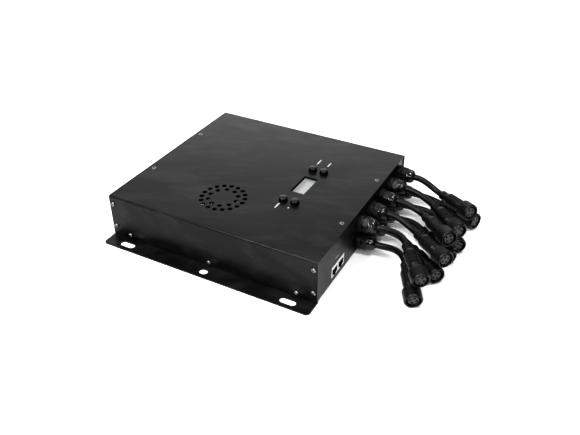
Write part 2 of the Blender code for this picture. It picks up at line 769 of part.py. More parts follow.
# Output leads: gland, cable, plug and the plug's coupling nut

def gland_seat(row, column):
    """Middle of a gland's hole, on the outer face of the right end."""
    return Vector((END_FACE, GLAND_FRONT_Y + GLAND_PITCH * (column - 1), GLAND_ROWS[row]))


def make_gland(name, seat, spin, paint):
    """One gland: thread and lock nut inside the case, hexagon and domed nut outside."""
    profile = (
        (-7.6 * MM, GLAND_THREAD_R, False),
        (-5.8 * MM, GLAND_THREAD_R, False),
        (-5.8 * MM, LOCKNUT_HEX_R, True),
        (-SHEET - GAP, LOCKNUT_HEX_R, True),
        (-SHEET - GAP, GLAND_THREAD_R, False),
        (GAP, GLAND_THREAD_R, False),
        (GAP, GLAND_FLANGE_R, True),
        (GLAND_FLANGE, GLAND_FLANGE_R, True),
        (GLAND_FLANGE, GLAND_HEX_R, True),
        (GLAND_HEX, GLAND_HEX_R, True),
        (GLAND_HEX, 8.8 * MM, False),
        (GLAND_LONG - 4.5 * MM, 8.3 * MM, False),
        (GLAND_LONG - 2 * MM, 7.2 * MM, False),
        (GLAND_LONG, 5 * MM, False),
    )
    form = bmesh.new()
    add_turned(form, profile, 12)
    gland = new_object(name, form, paint)
    gland.location = seat
    aim(gland, Vector((1, 0, 0)), spin)
    shade(gland)


def plug_direction(heading, climb):
    """Unit vector that a plug points along."""
    heading, climb = math.radians(heading), math.radians(climb)
    return Vector((math.cos(climb) * math.cos(heading), math.cos(climb) * math.sin(heading), math.sin(climb)))


def lead_route(start, end, direction, near, far):
    """Points along one smooth curve, with a short straight run out of the gland and into the plug."""
    first = start + Vector((LEAD_STRAIGHT, 0, 0))
    last = end - LEAD_STRAIGHT * direction
    distance = (last - first).length
    first_handle = first + Vector((near * distance, 0, 0))
    last_handle = last - far * distance * direction
    curve = []
    for k in range(LEAD_POINTS):
        t = k / (LEAD_POINTS - 1)
        u = 1 - t
        curve.append(u**3 * first + 3 * u * u * t * first_handle + 3 * u * t * t * last_handle + t**3 * last)
    return [start] + curve + [end]


def make_cable(name, points, paint):
    """A cable as a round tube along its route, with filled ends."""
    curve = bpy.data.curves.new(name, "CURVE")
    curve.dimensions = "3D"
    curve.bevel_depth = LEAD_R
    curve.bevel_resolution = 2
    curve.use_fill_caps = True
    spline = curve.splines.new("POLY")
    spline.points.add(len(points) - 1)
    for place, point in zip(spline.points, points):
        place.co = (*point, 1)
    curve.materials.append(paint)
    cable = bpy.data.objects.new(name, curve)
    bpy.context.scene.collection.objects.link(cable)


def make_plug(name, start, direction, paint):
    """A moulded plug: ribbed strain relief, grip, the flange that holds the nut, and the barrel."""
    profile = []
    for k in range(RIBS):
        profile.append((GAP + RIB * k, RIB_GROOVE_R, False))
        profile.append((GAP + RIB * (k + 0.5), RIB_R, False))
    flange = NUT_BACK + NUT_BACK_WALL + GAP
    profile += [
        (GAP + RIB * RIBS, RIB_GROOVE_R, False),
        (GAP + RIB * RIBS + 1.2 * MM, PLUG_R - 0.5 * MM, False),
        (NUT_BACK - GAP - 0.5 * MM, PLUG_R, False),
        (NUT_BACK - GAP, PLUG_R - 0.5 * MM, False),
        (NUT_BACK - GAP, PLUG_NECK_R, False),
        (flange, PLUG_NECK_R, False),
        (flange, PLUG_FLANGE_R, False),
        (flange + PLUG_FLANGE, PLUG_FLANGE_R, False),
        (flange + PLUG_FLANGE, BARREL_R, False),
        (PLUG_LONG - BARREL_INSET, BARREL_R, False),
    ]
    form = bmesh.new()
    add_turned(form, profile, 12)
    plug = new_object(name, form, paint)
    plug.location = start
    aim(plug, direction)
    shade(plug, 25)


def make_nut(name, start, direction, paint):
    """The coupling nut: a ring that turns on the plug's neck, with its origin on their axis."""
    front = PLUG_LONG - NUT_BACK
    back_r = PLUG_NECK_R + GAP
    profile = (
        (0, NUT_R - 0.9 * MM, False),
        (0.9 * MM, NUT_R, False),
        (front - NUT_CHAMFER, NUT_R, False),
        (front - NUT_CHAMFER / 3, (NUT_R + NUT_FACE_R) / 2 + 0.1 * MM, False),
        (front, NUT_FACE_R, False),
        (front, NUT_BORE_R, False),
        (NUT_BACK_WALL, NUT_BORE_R, False),
        (NUT_BACK_WALL, back_r, False),
        (0, back_r, False),
    )
    form = bmesh.new()
    add_turned(form, profile, NUT_SIDES, closed=True)
    nut = new_object(name, form, paint)
    nut.location = start + NUT_BACK * direction
    aim(nut, direction)
    shade(nut)


# The whole object

def build():
    for old in list(bpy.data.objects):
        bpy.data.objects.remove(old)

    black_steel = material("black_powder_coat", "2b2b2b", 0.55, 0.0)
    nylon = material("black_nylon", "141414", 0.3, 0.0)
    cable_black = material("black_cable", "1a1a1a", 0.5, 0.0)
    plug_black = material("black_moulding", "202020", 0.45, 0.0)
    button_black = material("black_button", "151515", 0.4, 0.0)
    glass = material("display_face", "c9cdca", 0.2, 0.0)
    bezel = material("display_frame", "3a3c3f", 0.4, 0.8)
    green = material("circuit_board", "1e4a2c", 0.5, 0.0)
    jack_metal = material("socket_shield", "d8d9da", 0.3, 1.0)
    module_metal = material("bare_steel", "b4b6b8", 0.35, 1.0)
    inlet_black = material("black_thermoplastic", "191919", 0.4, 0.0)

    seats = [gland_seat(row, column) for row, column, *_ in LEADS]

    make_cover(black_steel)
    make_chassis(black_steel, seats)
    make_bracket("front_bracket", black_steel)
    turn_half(make_bracket("rear_bracket", black_steel))
    make_display(glass, bezel, green)
    for k, (x, y) in enumerate((x, y) for y in BUTTON_Y for x in BUTTON_X):
        make_button(f"button_{k + 1}", x, y, button_black)
    make_module(module_metal)
    make_fan(inlet_black, inlet_black)
    make_output_board(green)
    make_network(green, jack_metal)
    make_inlet(inlet_black, inlet_black)

    for k, (row, column, end, heading, climb, near, far) in enumerate(LEADS):
        seat = gland_seat(row, column)
        end = Vector(end) * MM
        direction = plug_direction(heading, climb)
        start = seat + Vector((GLAND_LONG + GAP, 0, 0))
        make_gland(f"gland_{row}_{column}", seat, 7 + 23 * k, nylon)
        make_cable(f"cable_{row}_{column}", lead_route(start, end, direction, near, far), cable_black)
        make_plug(f"plug_{row}_{column}", end, direction, plug_black)
        make_nut(f"coupling_nut_{row}_{column}", end, direction, plug_black)


build()
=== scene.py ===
"""Looks of a power supply and controller for strings of stage lights, over its CAD frame.

Metres, +Z up. The origin is the middle of the case's underside, X runs along its long front side.
"""

import math

import bmesh
import bpy
from mathutils import Matrix, Quaternion, Vector


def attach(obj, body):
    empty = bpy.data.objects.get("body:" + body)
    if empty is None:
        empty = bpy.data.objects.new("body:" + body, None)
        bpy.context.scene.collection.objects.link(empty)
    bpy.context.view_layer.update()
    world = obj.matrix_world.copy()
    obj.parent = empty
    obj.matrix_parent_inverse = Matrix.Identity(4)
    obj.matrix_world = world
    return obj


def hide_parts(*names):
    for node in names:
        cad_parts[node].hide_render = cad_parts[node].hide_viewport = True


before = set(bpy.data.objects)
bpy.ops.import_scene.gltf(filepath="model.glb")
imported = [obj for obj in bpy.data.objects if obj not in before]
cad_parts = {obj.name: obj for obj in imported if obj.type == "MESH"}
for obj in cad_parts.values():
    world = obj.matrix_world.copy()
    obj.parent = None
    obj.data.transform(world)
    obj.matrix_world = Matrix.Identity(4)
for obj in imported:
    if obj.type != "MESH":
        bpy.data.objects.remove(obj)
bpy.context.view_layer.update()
MM = 0.001


# Camera: level, 28 degrees round from the front towards the end with the leads, and looking
# 34 degrees down.

CAMERA_PLACE = (0.3582, -0.6051, 0.4709)
CAMERA_ROUND = math.radians(28.036)
CAMERA_UP = math.radians(34.329)

camera_data = bpy.data.cameras.new("camera")
camera_data.sensor_width = 36
camera_data.lens = 41.6
camera = bpy.data.objects.new("camera", camera_data)
camera.location = CAMERA_PLACE
camera_back = Vector((
    math.cos(CAMERA_UP) * math.sin(CAMERA_ROUND),
    -math.cos(CAMERA_UP) * math.cos(CAMERA_ROUND),
    math.sin(CAMERA_UP),
))
camera.rotation_euler = (-camera_back).to_track_quat("-Z", "Y").to_euler()
bpy.context.scene.collection.objects.link(camera)
bpy.context.scene.camera = camera


# Output cables: ten short four-core cables in a soft black PVC jacket, one from each gland. Each
# is clamped inside its gland and moulded into its plug, so both of its ends run on out of sight.

LEAD_R = 3.75 * MM
LEAD_HIDDEN = 4 * MM
LEAD_STRAIGHT = 2 * MM
LEAD_STEPS = 18
GLAND_MOUTH_X = 156.3 * MM
GLAND_FRONT_Y = -17 * MM
GLAND_PITCH = 31 * MM
GLAND_ROWS = {"upper": 38 * MM, "lower": 14 * MM}

# Row, column, where the cable enters its plug in millimetres, the plug's heading and climb in
# degrees, and how far the cable keeps straight on from its gland and before its plug, as shares
# of the way between
LEADS = (
    ("upper", 1, (196.5, -34.8, 39.7), -53, -8, 0.25, 0.45),
    ("upper", 2, (197, 2, 31), -36.5, 0, 0.35, 0.4),
    ("upper", 3, (194.5, 37, 32.5), -43, 5, 0.3, 0.4),
    ("upper", 4, (197, 60.7, 34), -40, -2.5, 0.3, 0.25),
    ("upper", 5, (195, 101, 27), -34.5, 5, 0.35, 0.4),
    ("lower", 1, (199, -39.3, 17.8), -60, -8, 0.25, 0.5),
    ("lower", 2, (194.2, 0.6, 10.6), -42, 0, 0.33, 0.35),
    ("lower", 3, (193.6, 32.5, 16.2), -35.5, -6, 0.33, 0.45),
    ("lower", 4, (202.2, 66.2, 13.6), -46, -3, 0.3, 0.45),
    ("lower", 5, (193.8, 106.5, 10.6), -21.5, 0, 0.35, 0.4),
)


def linear(colour):
    """Linear red, green, blue and alpha of an sRGB colour written as six hex digits."""
    levels = [int(colour[i:i + 2], 16) / 255 for i in (0, 2, 4)]
    return [v / 12.92 if v <= 0.04045 else ((v + 0.055) / 1.055) ** 2.4 for v in levels] + [1]


def add_node(finish, kind, settings, inputs):
    """Add a node to a finish. An input is a value, or a pair of a node and its output."""
    node = finish.node_tree.nodes.new(kind)
    for name, value in settings.items():
        setattr(node, name, value)
    for name, value in inputs.items():
        if isinstance(value, tuple) and isinstance(value[0], bpy.types.Node):
            finish.node_tree.links.new(value[0].outputs[value[1]], node.inputs[name])
        else:
            node.inputs[name].default_value = value
    return node


def remap(finish, source, ends, levels):
    """Add a node that takes a source from between two ends to between two levels."""
    return add_node(finish, "ShaderNodeMapRange", {}, {
        "Value": source, 1: ends[0], 2: ends[1], 3: levels[0], 4: levels[1],
    })


def blend(finish, share, first, second):
    """Add a node that mixes two colours by another node's value."""
    return add_node(finish, "ShaderNodeMix", {"data_type": "RGBA"}, {
        0: (share, 0), 6: first, 7: second,
    })


def start_finish(name, metallic=0, ior=1.5):
    """A new material, with its shader's plain numbers."""
    finish = bpy.data.materials.new(name)
    finish.use_nodes = True
    shader = finish.node_tree.nodes["Principled BSDF"]
    shader.inputs["Metallic"].default_value = metallic
    if not metallic:
        shader.inputs["IOR"].default_value = ior
    return finish


def feed(finish, name, node, output):
    """Link a node's output to an input of the finish's shader."""
    shader = finish.node_tree.nodes["Principled BSDF"]
    finish.node_tree.links.new(node.outputs[output], shader.inputs[name])


def mottle(finish, size, colours, roughness, detail=3):
    """Colour and roughness that drift together between two values, over patches of a size.

    Returns the node that gives the colour.
    """
    place = add_node(finish, "ShaderNodeTexCoord", {}, {})
    patches = add_node(finish, "ShaderNodeTexNoise", {}, {
        "Vector": (place, "Object"), "Scale": 1 / size, "Detail": detail, "Roughness": 0.55,
    })
    drift = blend(finish, patches, linear(colours[0]), linear(colours[1]))
    sheen = remap(finish, (patches, 0), (0.3, 0.7), roughness)
    feed(finish, "Base Color", drift, 2)
    feed(finish, "Roughness", sheen, 0)
    return drift


def grain(finish, size, deep):
    """Fine raised texture of a grain size and a depth."""
    place = add_node(finish, "ShaderNodeTexCoord", {}, {})
    noise = add_node(finish, "ShaderNodeTexNoise", {}, {
        "Vector": (place, "Object"), "Scale": 1 / size, "Detail": 2, "Roughness": 0.5,
    })
    bump = add_node(finish, "ShaderNodeBump", {}, {
        "Height": (noise, 0), "Distance": deep, "Strength": 1,
    })
    feed(finish, "Normal", bump, "Normal")


# Extruded PVC: black with a soft sheen, broken by fine drag marks of the die
jacket = start_finish("extruded_pvc_jacket", ior=1.38)
mottle(jacket, 9 * MM, ("070708", "0e0e0f"), (0.36, 0.46))
grain(jacket, 0.5 * MM, 0.03 * MM)


def plug_direction(heading, climb):
    """Unit vector that a plug points along."""
    heading = math.radians(heading)
    climb = math.radians(climb)
    level = math.cos(climb)
    return Vector((level * math.cos(heading), level * math.sin(heading), math.sin(climb)))


def lead_route(mouth, end, direction, near, far):
    """Points along one smooth curve from inside the gland to inside the plug."""
    ahead = Vector((1, 0, 0))
    first = mouth + LEAD_STRAIGHT * ahead
    last = end - LEAD_STRAIGHT * direction
    distance = (last - first).length
    first_handle = first + near * distance * ahead
    last_handle = last - far * distance * direction
    route = [mouth - LEAD_HIDDEN * ahead, mouth]
    for k in range(LEAD_STEPS + 1):
        t = k / LEAD_STEPS
        u = 1 - t
        near_end = u**3 * first + 3 * u * u * t * first_handle
        route.append(near_end + 3 * u * t * t * last_handle + t**3 * last)
    return route + [end, end + LEAD_HIDDEN * direction]


def add_cable(name, route, finish):
    """A round cable along its route, with filled ends."""
    line = bpy.data.curves.new(name, "CURVE")
    line.dimensions = "3D"
    line.bevel_depth = LEAD_R
    line.bevel_resolution = 6
    line.use_fill_caps = True
    spline = line.splines.new("POLY")
    spline.points.add(len(route) - 1)
    for place, point in zip(spline.points, route):
        place.co = (*point, 1)
    line.materials.append(finish)
    cable = bpy.data.objects.new(name, line)
    bpy.context.scene.collection.objects.link(cable)
    return cable


def gland_middle(x, row, column):
    """The point on a gland's middle line at an X."""
    return Vector((x, GLAND_FRONT_Y + GLAND_PITCH * (column - 1), GLAND_ROWS[row]))


cables = {}
routes = {}
for row, column, end, heading, climb, near, far in LEADS:
    lead = f"{row}_{column}"
    mouth = gland_middle(GLAND_MOUTH_X, row, column)
    routes[lead] = lead_route(mouth, Vector(end) * MM, plug_direction(heading, climb), near, far)
    cables[lead] = add_cable(f"jacket_{lead}", routes[lead], jacket)
    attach(cables[lead], "case")
    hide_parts(f"cable_{lead}")


# Plugs: black PVC moulded over the cable's end, with a ribbed strain relief, a swelling grip with
# fine rings, and a waist behind the nut. A dark grey PBT insert with four socket contacts fills
# the front.

PLUG_LONG = 54 * MM
PLUG_NECK_R = 5.4 * MM
NUT_BACK = 38.5 * MM
NUT_BACK_WALL = 2 * MM
GAP = 0.3 * MM
RIBS = 3
RIB = 3.4 * MM
GRIP_RINGS = 6
GRIP_PITCH = 2.8 * MM
GRIP_START = 15.5 * MM
GRIP_DEEP = 0.75 * MM
GRIP_R = 7.6 * MM
WAIST_R = 6.4 * MM
PLUG_FLANGE = 1.6 * MM
PLUG_FLANGE_R = 7.6 * MM
INSERT_R = 6.2 * MM
INSERT_EDGE = 0.4 * MM
INSERT_BACK = NUT_BACK + 4 * MM
INSERT_FRONT = PLUG_LONG - 1.5 * MM
KEYWAY_WIDE = 1.4 * MM
KEYWAY_Y = (5.1 * MM, 7 * MM)
KEYWAY_DEEP = 5 * MM
CONTACTS = 4
CONTACT_CIRCLE_R = 3.7 * MM
CONTACT_HOLE_R = 1.25 * MM
CONTACT_HOLE_DEEP = 4 * MM
CONTACT_DOWN = 2.2 * MM
CONTACT_LONG = 2.5 * MM
CONTACT_R = 0.85 * MM
CONTACT_BORE_R = 0.55 * MM
CONTACT_EDGE = 0.1 * MM
CUT_PAST = 1 * MM

# A rib of the strain relief, as shares of its pitch and radii, and a ring of the grip, as shares
# of its pitch and of its depth
RIB_SHAPE = ((0, 4.5), (0.08, 5.4), (0.2, 5.7), (0.55, 5.7), (0.67, 5.4), (0.75, 4.5))
GRIP_SHAPE = ((0, 0), (0.35, 0), (0.55, 1), (0.75, 1), (0.95, 0))

# Heights and radii of the shoulder, counted from the ribs' end, and of the swell and the waist
SHOULDER = ((0, 4.8), (0.3, 6.3), (1, 6.9))
SWELL = ((13.5, 7.4), (14.5, 7.6))
WAIST = ((32, 7.6), (33.5, 7.3), (36, 6.8), (37.6, 6.7))


def add_turned(form, profile, sides, closed=False, reach=None, place=Matrix()):
    """Add a shape turned about Z from (height, radius) rings, with capped ends or a bore.

    Reach, where given, is a function of angle, height and radius that makes the rings other
    than round.
    """
    rings = []
    for height, radius in profile:
        ring = []
        for k in range(sides):
            angle = math.tau * k / sides
            out = reach(angle, height, radius) if reach else radius
            point = Vector((out * math.cos(angle), out * math.sin(angle), height))
            ring.append(form.verts.new(place @ point))
        rings.append(ring)
    pairs = list(zip(rings, rings[1:]))
    if closed:
        pairs.append((rings[-1], rings[0]))
    for below, above in pairs:
        for k in range(sides):
            j = (k + 1) % sides
            form.faces.new((below[k], below[j], above[j], above[k]))
    if not closed:
        form.faces.new(rings[0][::-1])
        form.faces.new(rings[-1])


def new_mesh(name, form, finish, sharp=35):
    """A smooth-shaded mesh from a finished bmesh, with the edges over an angle kept sharp."""
    bmesh.ops.recalc_face_normals(form, faces=form.faces)
    mesh = bpy.data.meshes.new(name)
    form.to_mesh(mesh)
    form.free()
    mesh.materials.append(finish)
    mesh.shade_smooth()
    mesh.set_sharp_from_angle(angle=math.radians(sharp))
    return mesh


def new_piece(name, mesh):
    """A piece that shows a mesh."""
    piece = bpy.data.objects.new(name, mesh)
    bpy.context.scene.collection.objects.link(piece)
    return piece


def lone_piece(name, form, finish, sharp=35):
    """A piece with a mesh of its own."""
    return new_piece(name, new_mesh(name, form, finish, sharp))


def belongs(piece, body, slot, *nodes):
    """Fix a placed piece to its body, and hide the CAD nodes that it stands for. The slot is not
    used.
    """
    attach(piece, body)
    if nodes:
        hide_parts(*nodes)


def add_box(form, corner, opposite):
    """Add a box between two opposite corners."""
    low = Vector([min(pair) for pair in zip(corner, opposite)])
    high = Vector([max(pair) for pair in zip(corner, opposite)])
    size = Matrix.Diagonal(high - low).to_4x4()
    bmesh.ops.create_cube(form, size=1, matrix=Matrix.Translation((low + high) / 2) @ size)


def add_cylinder(form, radius, start, end, sides=32):
    """Add a closed cylinder from one point to another."""
    start = Vector(start)
    end = Vector(end)
    along = end - start
    turn = along.to_track_quat("Z", "Y").to_matrix().to_4x4()
    place = Matrix.Translation((start + end) / 2) @ turn
    bmesh.ops.create_cone(
        form, cap_ends=True, segments=sides, radius1=radius, radius2=radius,
        depth=along.length, matrix=place,
    )


def change(piece, form, operation):
    """Join a shape to a piece's mesh or cut it out, and keep the result."""
    tool_mesh = bpy.data.meshes.new("tool")
    bmesh.ops.recalc_face_normals(form, faces=form.faces)
    form.to_mesh(tool_mesh)
    form.free()
    tool = new_piece("tool", tool_mesh)
    cut = piece.modifiers.new("cut", "BOOLEAN")
    cut.operation = operation
    cut.solver = "EXACT"
    cut.object = tool
    keep_result(piece)
    bpy.data.objects.remove(tool)


def keep_result(piece):
    """Put the result of a piece's modifiers in its mesh."""
    graph = bpy.context.evaluated_depsgraph_get()
    result = bpy.data.meshes.new_from_object(piece.evaluated_get(graph))
    piece.modifiers.clear()
    piece.data = result


def round_edges(piece, width):
    """Round a piece's sharp edges a little, as a moulded, folded or coated edge is."""
    bevel = piece.modifiers.new("edges", "BEVEL")
    bevel.width = width
    bevel.segments = 2
    bevel.limit_method = "ANGLE"
    bevel.angle_limit = math.radians(30)
    bevel.harden_normals = True
    keep_result(piece)


# Moulded PVC: black, satin, with the faint grain of a spark-eroded mould
moulding = start_finish("moulded_pvc_plug", ior=1.43)
mottle(moulding, 5 * MM, ("09090a", "101011"), (0.33, 0.42))
grain(moulding, 0.35 * MM, 0.03 * MM)

# Moulded PBT: smooth dark grey, so that the contact holes show black in it
insert_grey = start_finish("moulded_pbt_insert")
mottle(insert_grey, 3 * MM, ("1e1e1f", "303032"), (0.28, 0.38))
grain(insert_grey, 0.4 * MM, 0.02 * MM)

# Nickel-plated brass: bright, slightly warm
contact_metal = start_finish("nickel_plated_contacts", 1)
mottle(contact_metal, 1 * MM, ("b9b3a4", "d6d0c2"), (0.21, 0.28))


def in_metres(shape, base=0):
    """Heights over a base, and radii, of a shape that is written in millimetres."""
    return [(base + height * MM, radius * MM) for height, radius in shape]


def plug_profile():
    """Heights and radii of the moulded body, from the cable to the flange that holds the nut."""
    profile = []
    for k in range(RIBS):
        for share, radius in RIB_SHAPE:
            profile.append((GAP + RIB * (k + share), radius * MM))
    profile += in_metres(SHOULDER, GAP + RIB * RIBS)
    profile += in_metres(SWELL)
    for k in range(GRIP_RINGS):
        start = GRIP_START + GRIP_PITCH * k
        for share, deep in GRIP_SHAPE:
            profile.append((start + GRIP_PITCH * share, GRIP_R - deep * GRIP_DEEP))
    profile += in_metres(WAIST)
    behind_nut = NUT_BACK - GAP
    flange = NUT_BACK + NUT_BACK_WALL + GAP
    profile += [(behind_nut, WAIST_R), (behind_nut, PLUG_NECK_R)]
    profile += [(flange, PLUG_NECK_R), (flange, PLUG_FLANGE_R)]
    front = flange + PLUG_FLANGE
    return profile + [(front, PLUG_FLANGE_R), (front, INSERT_R - INSERT_EDGE)]


form = bmesh.new()
add_turned(form, plug_profile(), 48)
plug_mesh = new_mesh("plug_body", form, moulding, 30)

form = bmesh.new()
add_turned(form, (
    (INSERT_BACK, INSERT_R),
    (INSERT_FRONT - INSERT_EDGE, INSERT_R),
    (INSERT_FRONT, INSERT_R - INSERT_EDGE),
), 48)
insert_model = lone_piece("plug_insert", form, insert_grey)
holes = bmesh.new()
contact_places = []
for k in range(CONTACTS):
    angle = math.tau * (k + 0.5) / CONTACTS
    contact_places.append((CONTACT_CIRCLE_R * math.cos(angle), CONTACT_CIRCLE_R * math.sin(angle)))
for x, y in contact_places:
    bottom = (x, y, INSERT_FRONT - CONTACT_HOLE_DEEP)
    add_cylinder(holes, CONTACT_HOLE_R, bottom, (x, y, INSERT_FRONT + CUT_PAST), 16)
add_box(
    holes,
    (-KEYWAY_WIDE / 2, KEYWAY_Y[0], INSERT_FRONT - KEYWAY_DEEP),
    (KEYWAY_WIDE / 2, KEYWAY_Y[1], INSERT_FRONT + CUT_PAST),
)
change(insert_model, holes, "DIFFERENCE")
insert_mesh = insert_model.data
bpy.data.objects.remove(insert_model)

form = bmesh.new()
top = INSERT_FRONT - CONTACT_DOWN
contact = (
    (top - CONTACT_LONG, CONTACT_R),
    (top - CONTACT_EDGE, CONTACT_R),
    (top, CONTACT_R - CONTACT_EDGE),
    (top, CONTACT_BORE_R),
    (top - CONTACT_LONG, CONTACT_BORE_R),
)
for x, y in contact_places:
    add_turned(form, contact, 12, closed=True, place=Matrix.Translation((x, y, 0)))
contact_mesh = new_mesh("plug_contacts", form, contact_metal)


# Coupling nuts: black nylon rings that turn freely on the plugs' necks, with fine grip flutes
# outside, a rounded front edge and a screw thread inside.

NUT_LONG = PLUG_LONG - NUT_BACK
NUT_R = 10.2 * MM
NUT_FLUTES = 44
FLUTE_DEEP = 0.22 * MM
FLUTES_FROM = 1.5 * MM
FLUTES_END = NUT_LONG - 3 * MM
NUT_FACE_R = 9.2 * MM
NUT_BORE_R = 8.1 * MM
NUT_MOUTH = 0.3 * MM
FLUTES_R = NUT_R - 0.05 * MM
NUT_THREADS = 6
NUT_THREAD_PITCH = 1.5 * MM
NUT_THREAD_DEEP = 0.4 * MM
NUT_THREAD_DOWN = 1.2 * MM

# Heights and radii of the nut's outside: a rounded back edge, the grip, and a rounder front edge
NUT_BACK_EDGE = ((0, 8.9), (0.2, 9.5), (0.7, 10.0), (1.4, 10.2), (1.6, 10.2))
NUT_GRIP = ((3, 10.2), (6, 10.2), (9, 10.2), (11.5, 10.2), (12.9, 10.2))
NUT_FRONT_EDGE = ((13.5, 10.18), (14.3, 10.03), (14.9, 9.78), (15.3, 9.5), (15.45, 9.3))

# Moulded nylon: black with a soft even sheen
nut_nylon = start_finish("moulded_nylon_nut", ior=1.41)
mottle(nut_nylon, 6 * MM, ("0a0a0b", "121213"), (0.32, 0.42))
grain(nut_nylon, 0.35 * MM, 0.03 * MM)


def nut_reach(angle, height, radius):
    """Flutes round the nut's outside, which fade out towards both of its edges."""
    if radius < FLUTES_R or not FLUTES_FROM <= height <= FLUTES_END:
        return radius
    return radius - FLUTE_DEEP * (0.5 + 0.5 * math.cos(NUT_FLUTES * angle))


def nut_profile():
    """Heights and radii of the nut: round the outside, then back through the thread."""
    profile = in_metres(NUT_BACK_EDGE + NUT_GRIP + NUT_FRONT_EDGE)
    profile += [(NUT_LONG, NUT_FACE_R), (NUT_LONG, NUT_BORE_R + NUT_MOUTH)]
    profile += [(NUT_LONG - NUT_MOUTH, NUT_BORE_R)]
    for k in range(NUT_THREADS):
        top = NUT_LONG - NUT_THREAD_DOWN - NUT_THREAD_PITCH * k
        profile += [(top, NUT_BORE_R), (top - NUT_THREAD_PITCH / 2, NUT_BORE_R + NUT_THREAD_DEEP)]
    back_r = PLUG_NECK_R + GAP
    return profile + [(NUT_BACK_WALL, NUT_BORE_R), (NUT_BACK_WALL, back_r), (0, back_r)]


form = bmesh.new()
add_turned(form, nut_profile(), NUT_FLUTES * 4, closed=True, reach=nut_reach)
nut_mesh = new_mesh("coupling_nut", form, nut_nylon, 40)

for k, (row, column, end, heading, climb, near, far) in enumerate(LEADS):
    lead = f"{row}_{column}"
    direction = plug_direction(heading, climb)
    end = Vector(end) * MM
    spin = Quaternion((0, 0, 1), math.radians(25 + 37 * k))
    turn = (direction.to_track_quat("Z", "Y") @ spin).to_euler()
    parts = {
        "plug": new_piece(f"moulded_plug_{lead}", plug_mesh),
        "insert": new_piece(f"insert_{lead}", insert_mesh),
        "contacts": new_piece(f"contacts_{lead}", contact_mesh),
        "nut": new_piece(f"nut_{lead}", nut_mesh),
    }
    for part in parts.values():
        part.location = end
        part.rotation_euler = turn
    parts["nut"].location = end + NUT_BACK * direction
    belongs(parts["plug"], "case", "black_moulding", f"plug_{lead}")
    belongs(parts["insert"], "case", "black_moulding")
    belongs(parts["contacts"], "case", "socket_shield")
    belongs(parts["nut"], f"coupling_nut_{lead}", "black_moulding", f"coupling_nut_{lead}")


# Cable glands: glossy black nylon, each with a hexagon against the case, a hexagonal cap that ends
# in a dome, and a rubber seal round the cable. A lock nut holds it from inside.

GLAND_LONG = 22 * MM
GLAND_FLANGE = 6 * MM
GLAND_HEX = 13.2 * MM
SHEET = 1.5 * MM
END_FACE = 134 * MM
FLANGE_R = 11 * MM
CAP_R = 10 * MM
GLAND_BORE_R = 7 * MM
DOME_MOUTH_R = 5 * MM
DOME_START = (14.2 * MM, 5.2 * MM)
DOME_TALL = 7.4 * MM
DOME_SWELL = 3.5 * MM
DOME_FLUTES = 8
DOME_FLUTES_FROM = GLAND_HEX + 1 * MM
DOME_FLUTE_DEEP = 0.55 * MM
HEX_CHAMFER = 0.8 * MM
HEX_CHAMFER_BEND = 0.4
HEX_BLUNT = 0.25 * MM
CAP_GAP = 0.1 * MM
LOCK_NUT_R = 10.2 * MM
LOCK_NUT_FROM = -5.8 * MM
GLAND_THREAD_FROM = -7.6 * MM
GLAND_THREAD_R = 7.6 * MM
GLAND_THREAD_EDGE = 0.4 * MM
GLAND_THREAD_BORE_R = 6 * MM

# Shares of a quarter turn at which the dome's curve has its rings
DOME_CURVE = (0, 0.15, 0.3, 0.45, 0.6, 0.72, 0.84, 0.93, 1)

# Heights and radii of the dome's foot, counted from the cap's end, and of its lip and the seal,
# counted from the gland's end
DOME_FOOT = ((-1, 7), (-1, 8.6), (0.6, 8.8))
DOME_LIP = ((0, 4.9), (0, 4.5), (-0.3, 4.3), (-3, 4.3), (-3, 6))
SEAL = ((-7, 4.25), (-0.4, 4.25), (-0.2, 4.1), (-0.2, 3.9), (-0.5, 3.77), (-7, 3.77))

# Moulded nylon 6, grained by the mould where a spanner grips it: black, nearly matt
grained_nylon = start_finish("grained_nylon_gland", ior=1.43)
mottle(grained_nylon, 4 * MM, ("0a0a0b", "131314"), (0.4, 0.52))
grain(grained_nylon, 0.7 * MM, 0.06 * MM)

# The same nylon from a polished mould: deep black and glossy, with a few soft flow marks
nylon = start_finish("moulded_nylon_gland", ior=1.58)
mottle(nylon, 7 * MM, ("08080a", "101012"), (0.1, 0.14))
grain(nylon, 1.2 * MM, 0.03 * MM)

# Nitrile rubber: dull black
rubber = start_finish("nitrile_rubber_seal")
mottle(rubber, 1 * MM, ("131313", "1c1c1c"), (0.65, 0.85))


def hexagon_reach(corner):
    """A reach that cuts a turned shape to a hexagon, so that it keeps its turned chamfers."""
    flat = corner * math.cos(math.pi / 6)

    def reach(angle, height, radius):
        from_flat = (angle + math.pi / 6) % (math.pi / 3) - math.pi / 6
        return min(radius, flat / math.cos(from_flat))

    return reach


def add_chamfered(form, low, high, corner, bore):
    """Add a hexagonal nut with turned chamfers at both ends and a bore."""
    flat = corner * math.cos(math.pi / 6)
    blunt = corner - HEX_BLUNT
    between = (flat + blunt) / 2
    bend = HEX_CHAMFER * HEX_CHAMFER_BEND
    lower = ((low, flat), (low + bend, between), (low + HEX_CHAMFER, blunt))
    upper = ((high - HEX_CHAMFER, blunt), (high - bend, between), (high, flat))
    profile = lower + upper + ((high, bore), (low, bore))
    add_turned(form, profile, 72, closed=True, reach=hexagon_reach(corner))


form = bmesh.new()
add_chamfered(form, GAP, GLAND_FLANGE, FLANGE_R, GLAND_BORE_R)
flange_mesh = new_mesh("gland_flange", form, grained_nylon, 25)

form = bmesh.new()
add_chamfered(form, GLAND_FLANGE + CAP_GAP, GLAND_HEX, CAP_R, GLAND_BORE_R)
cap_mesh = new_mesh("gland_cap", form, grained_nylon, 25)


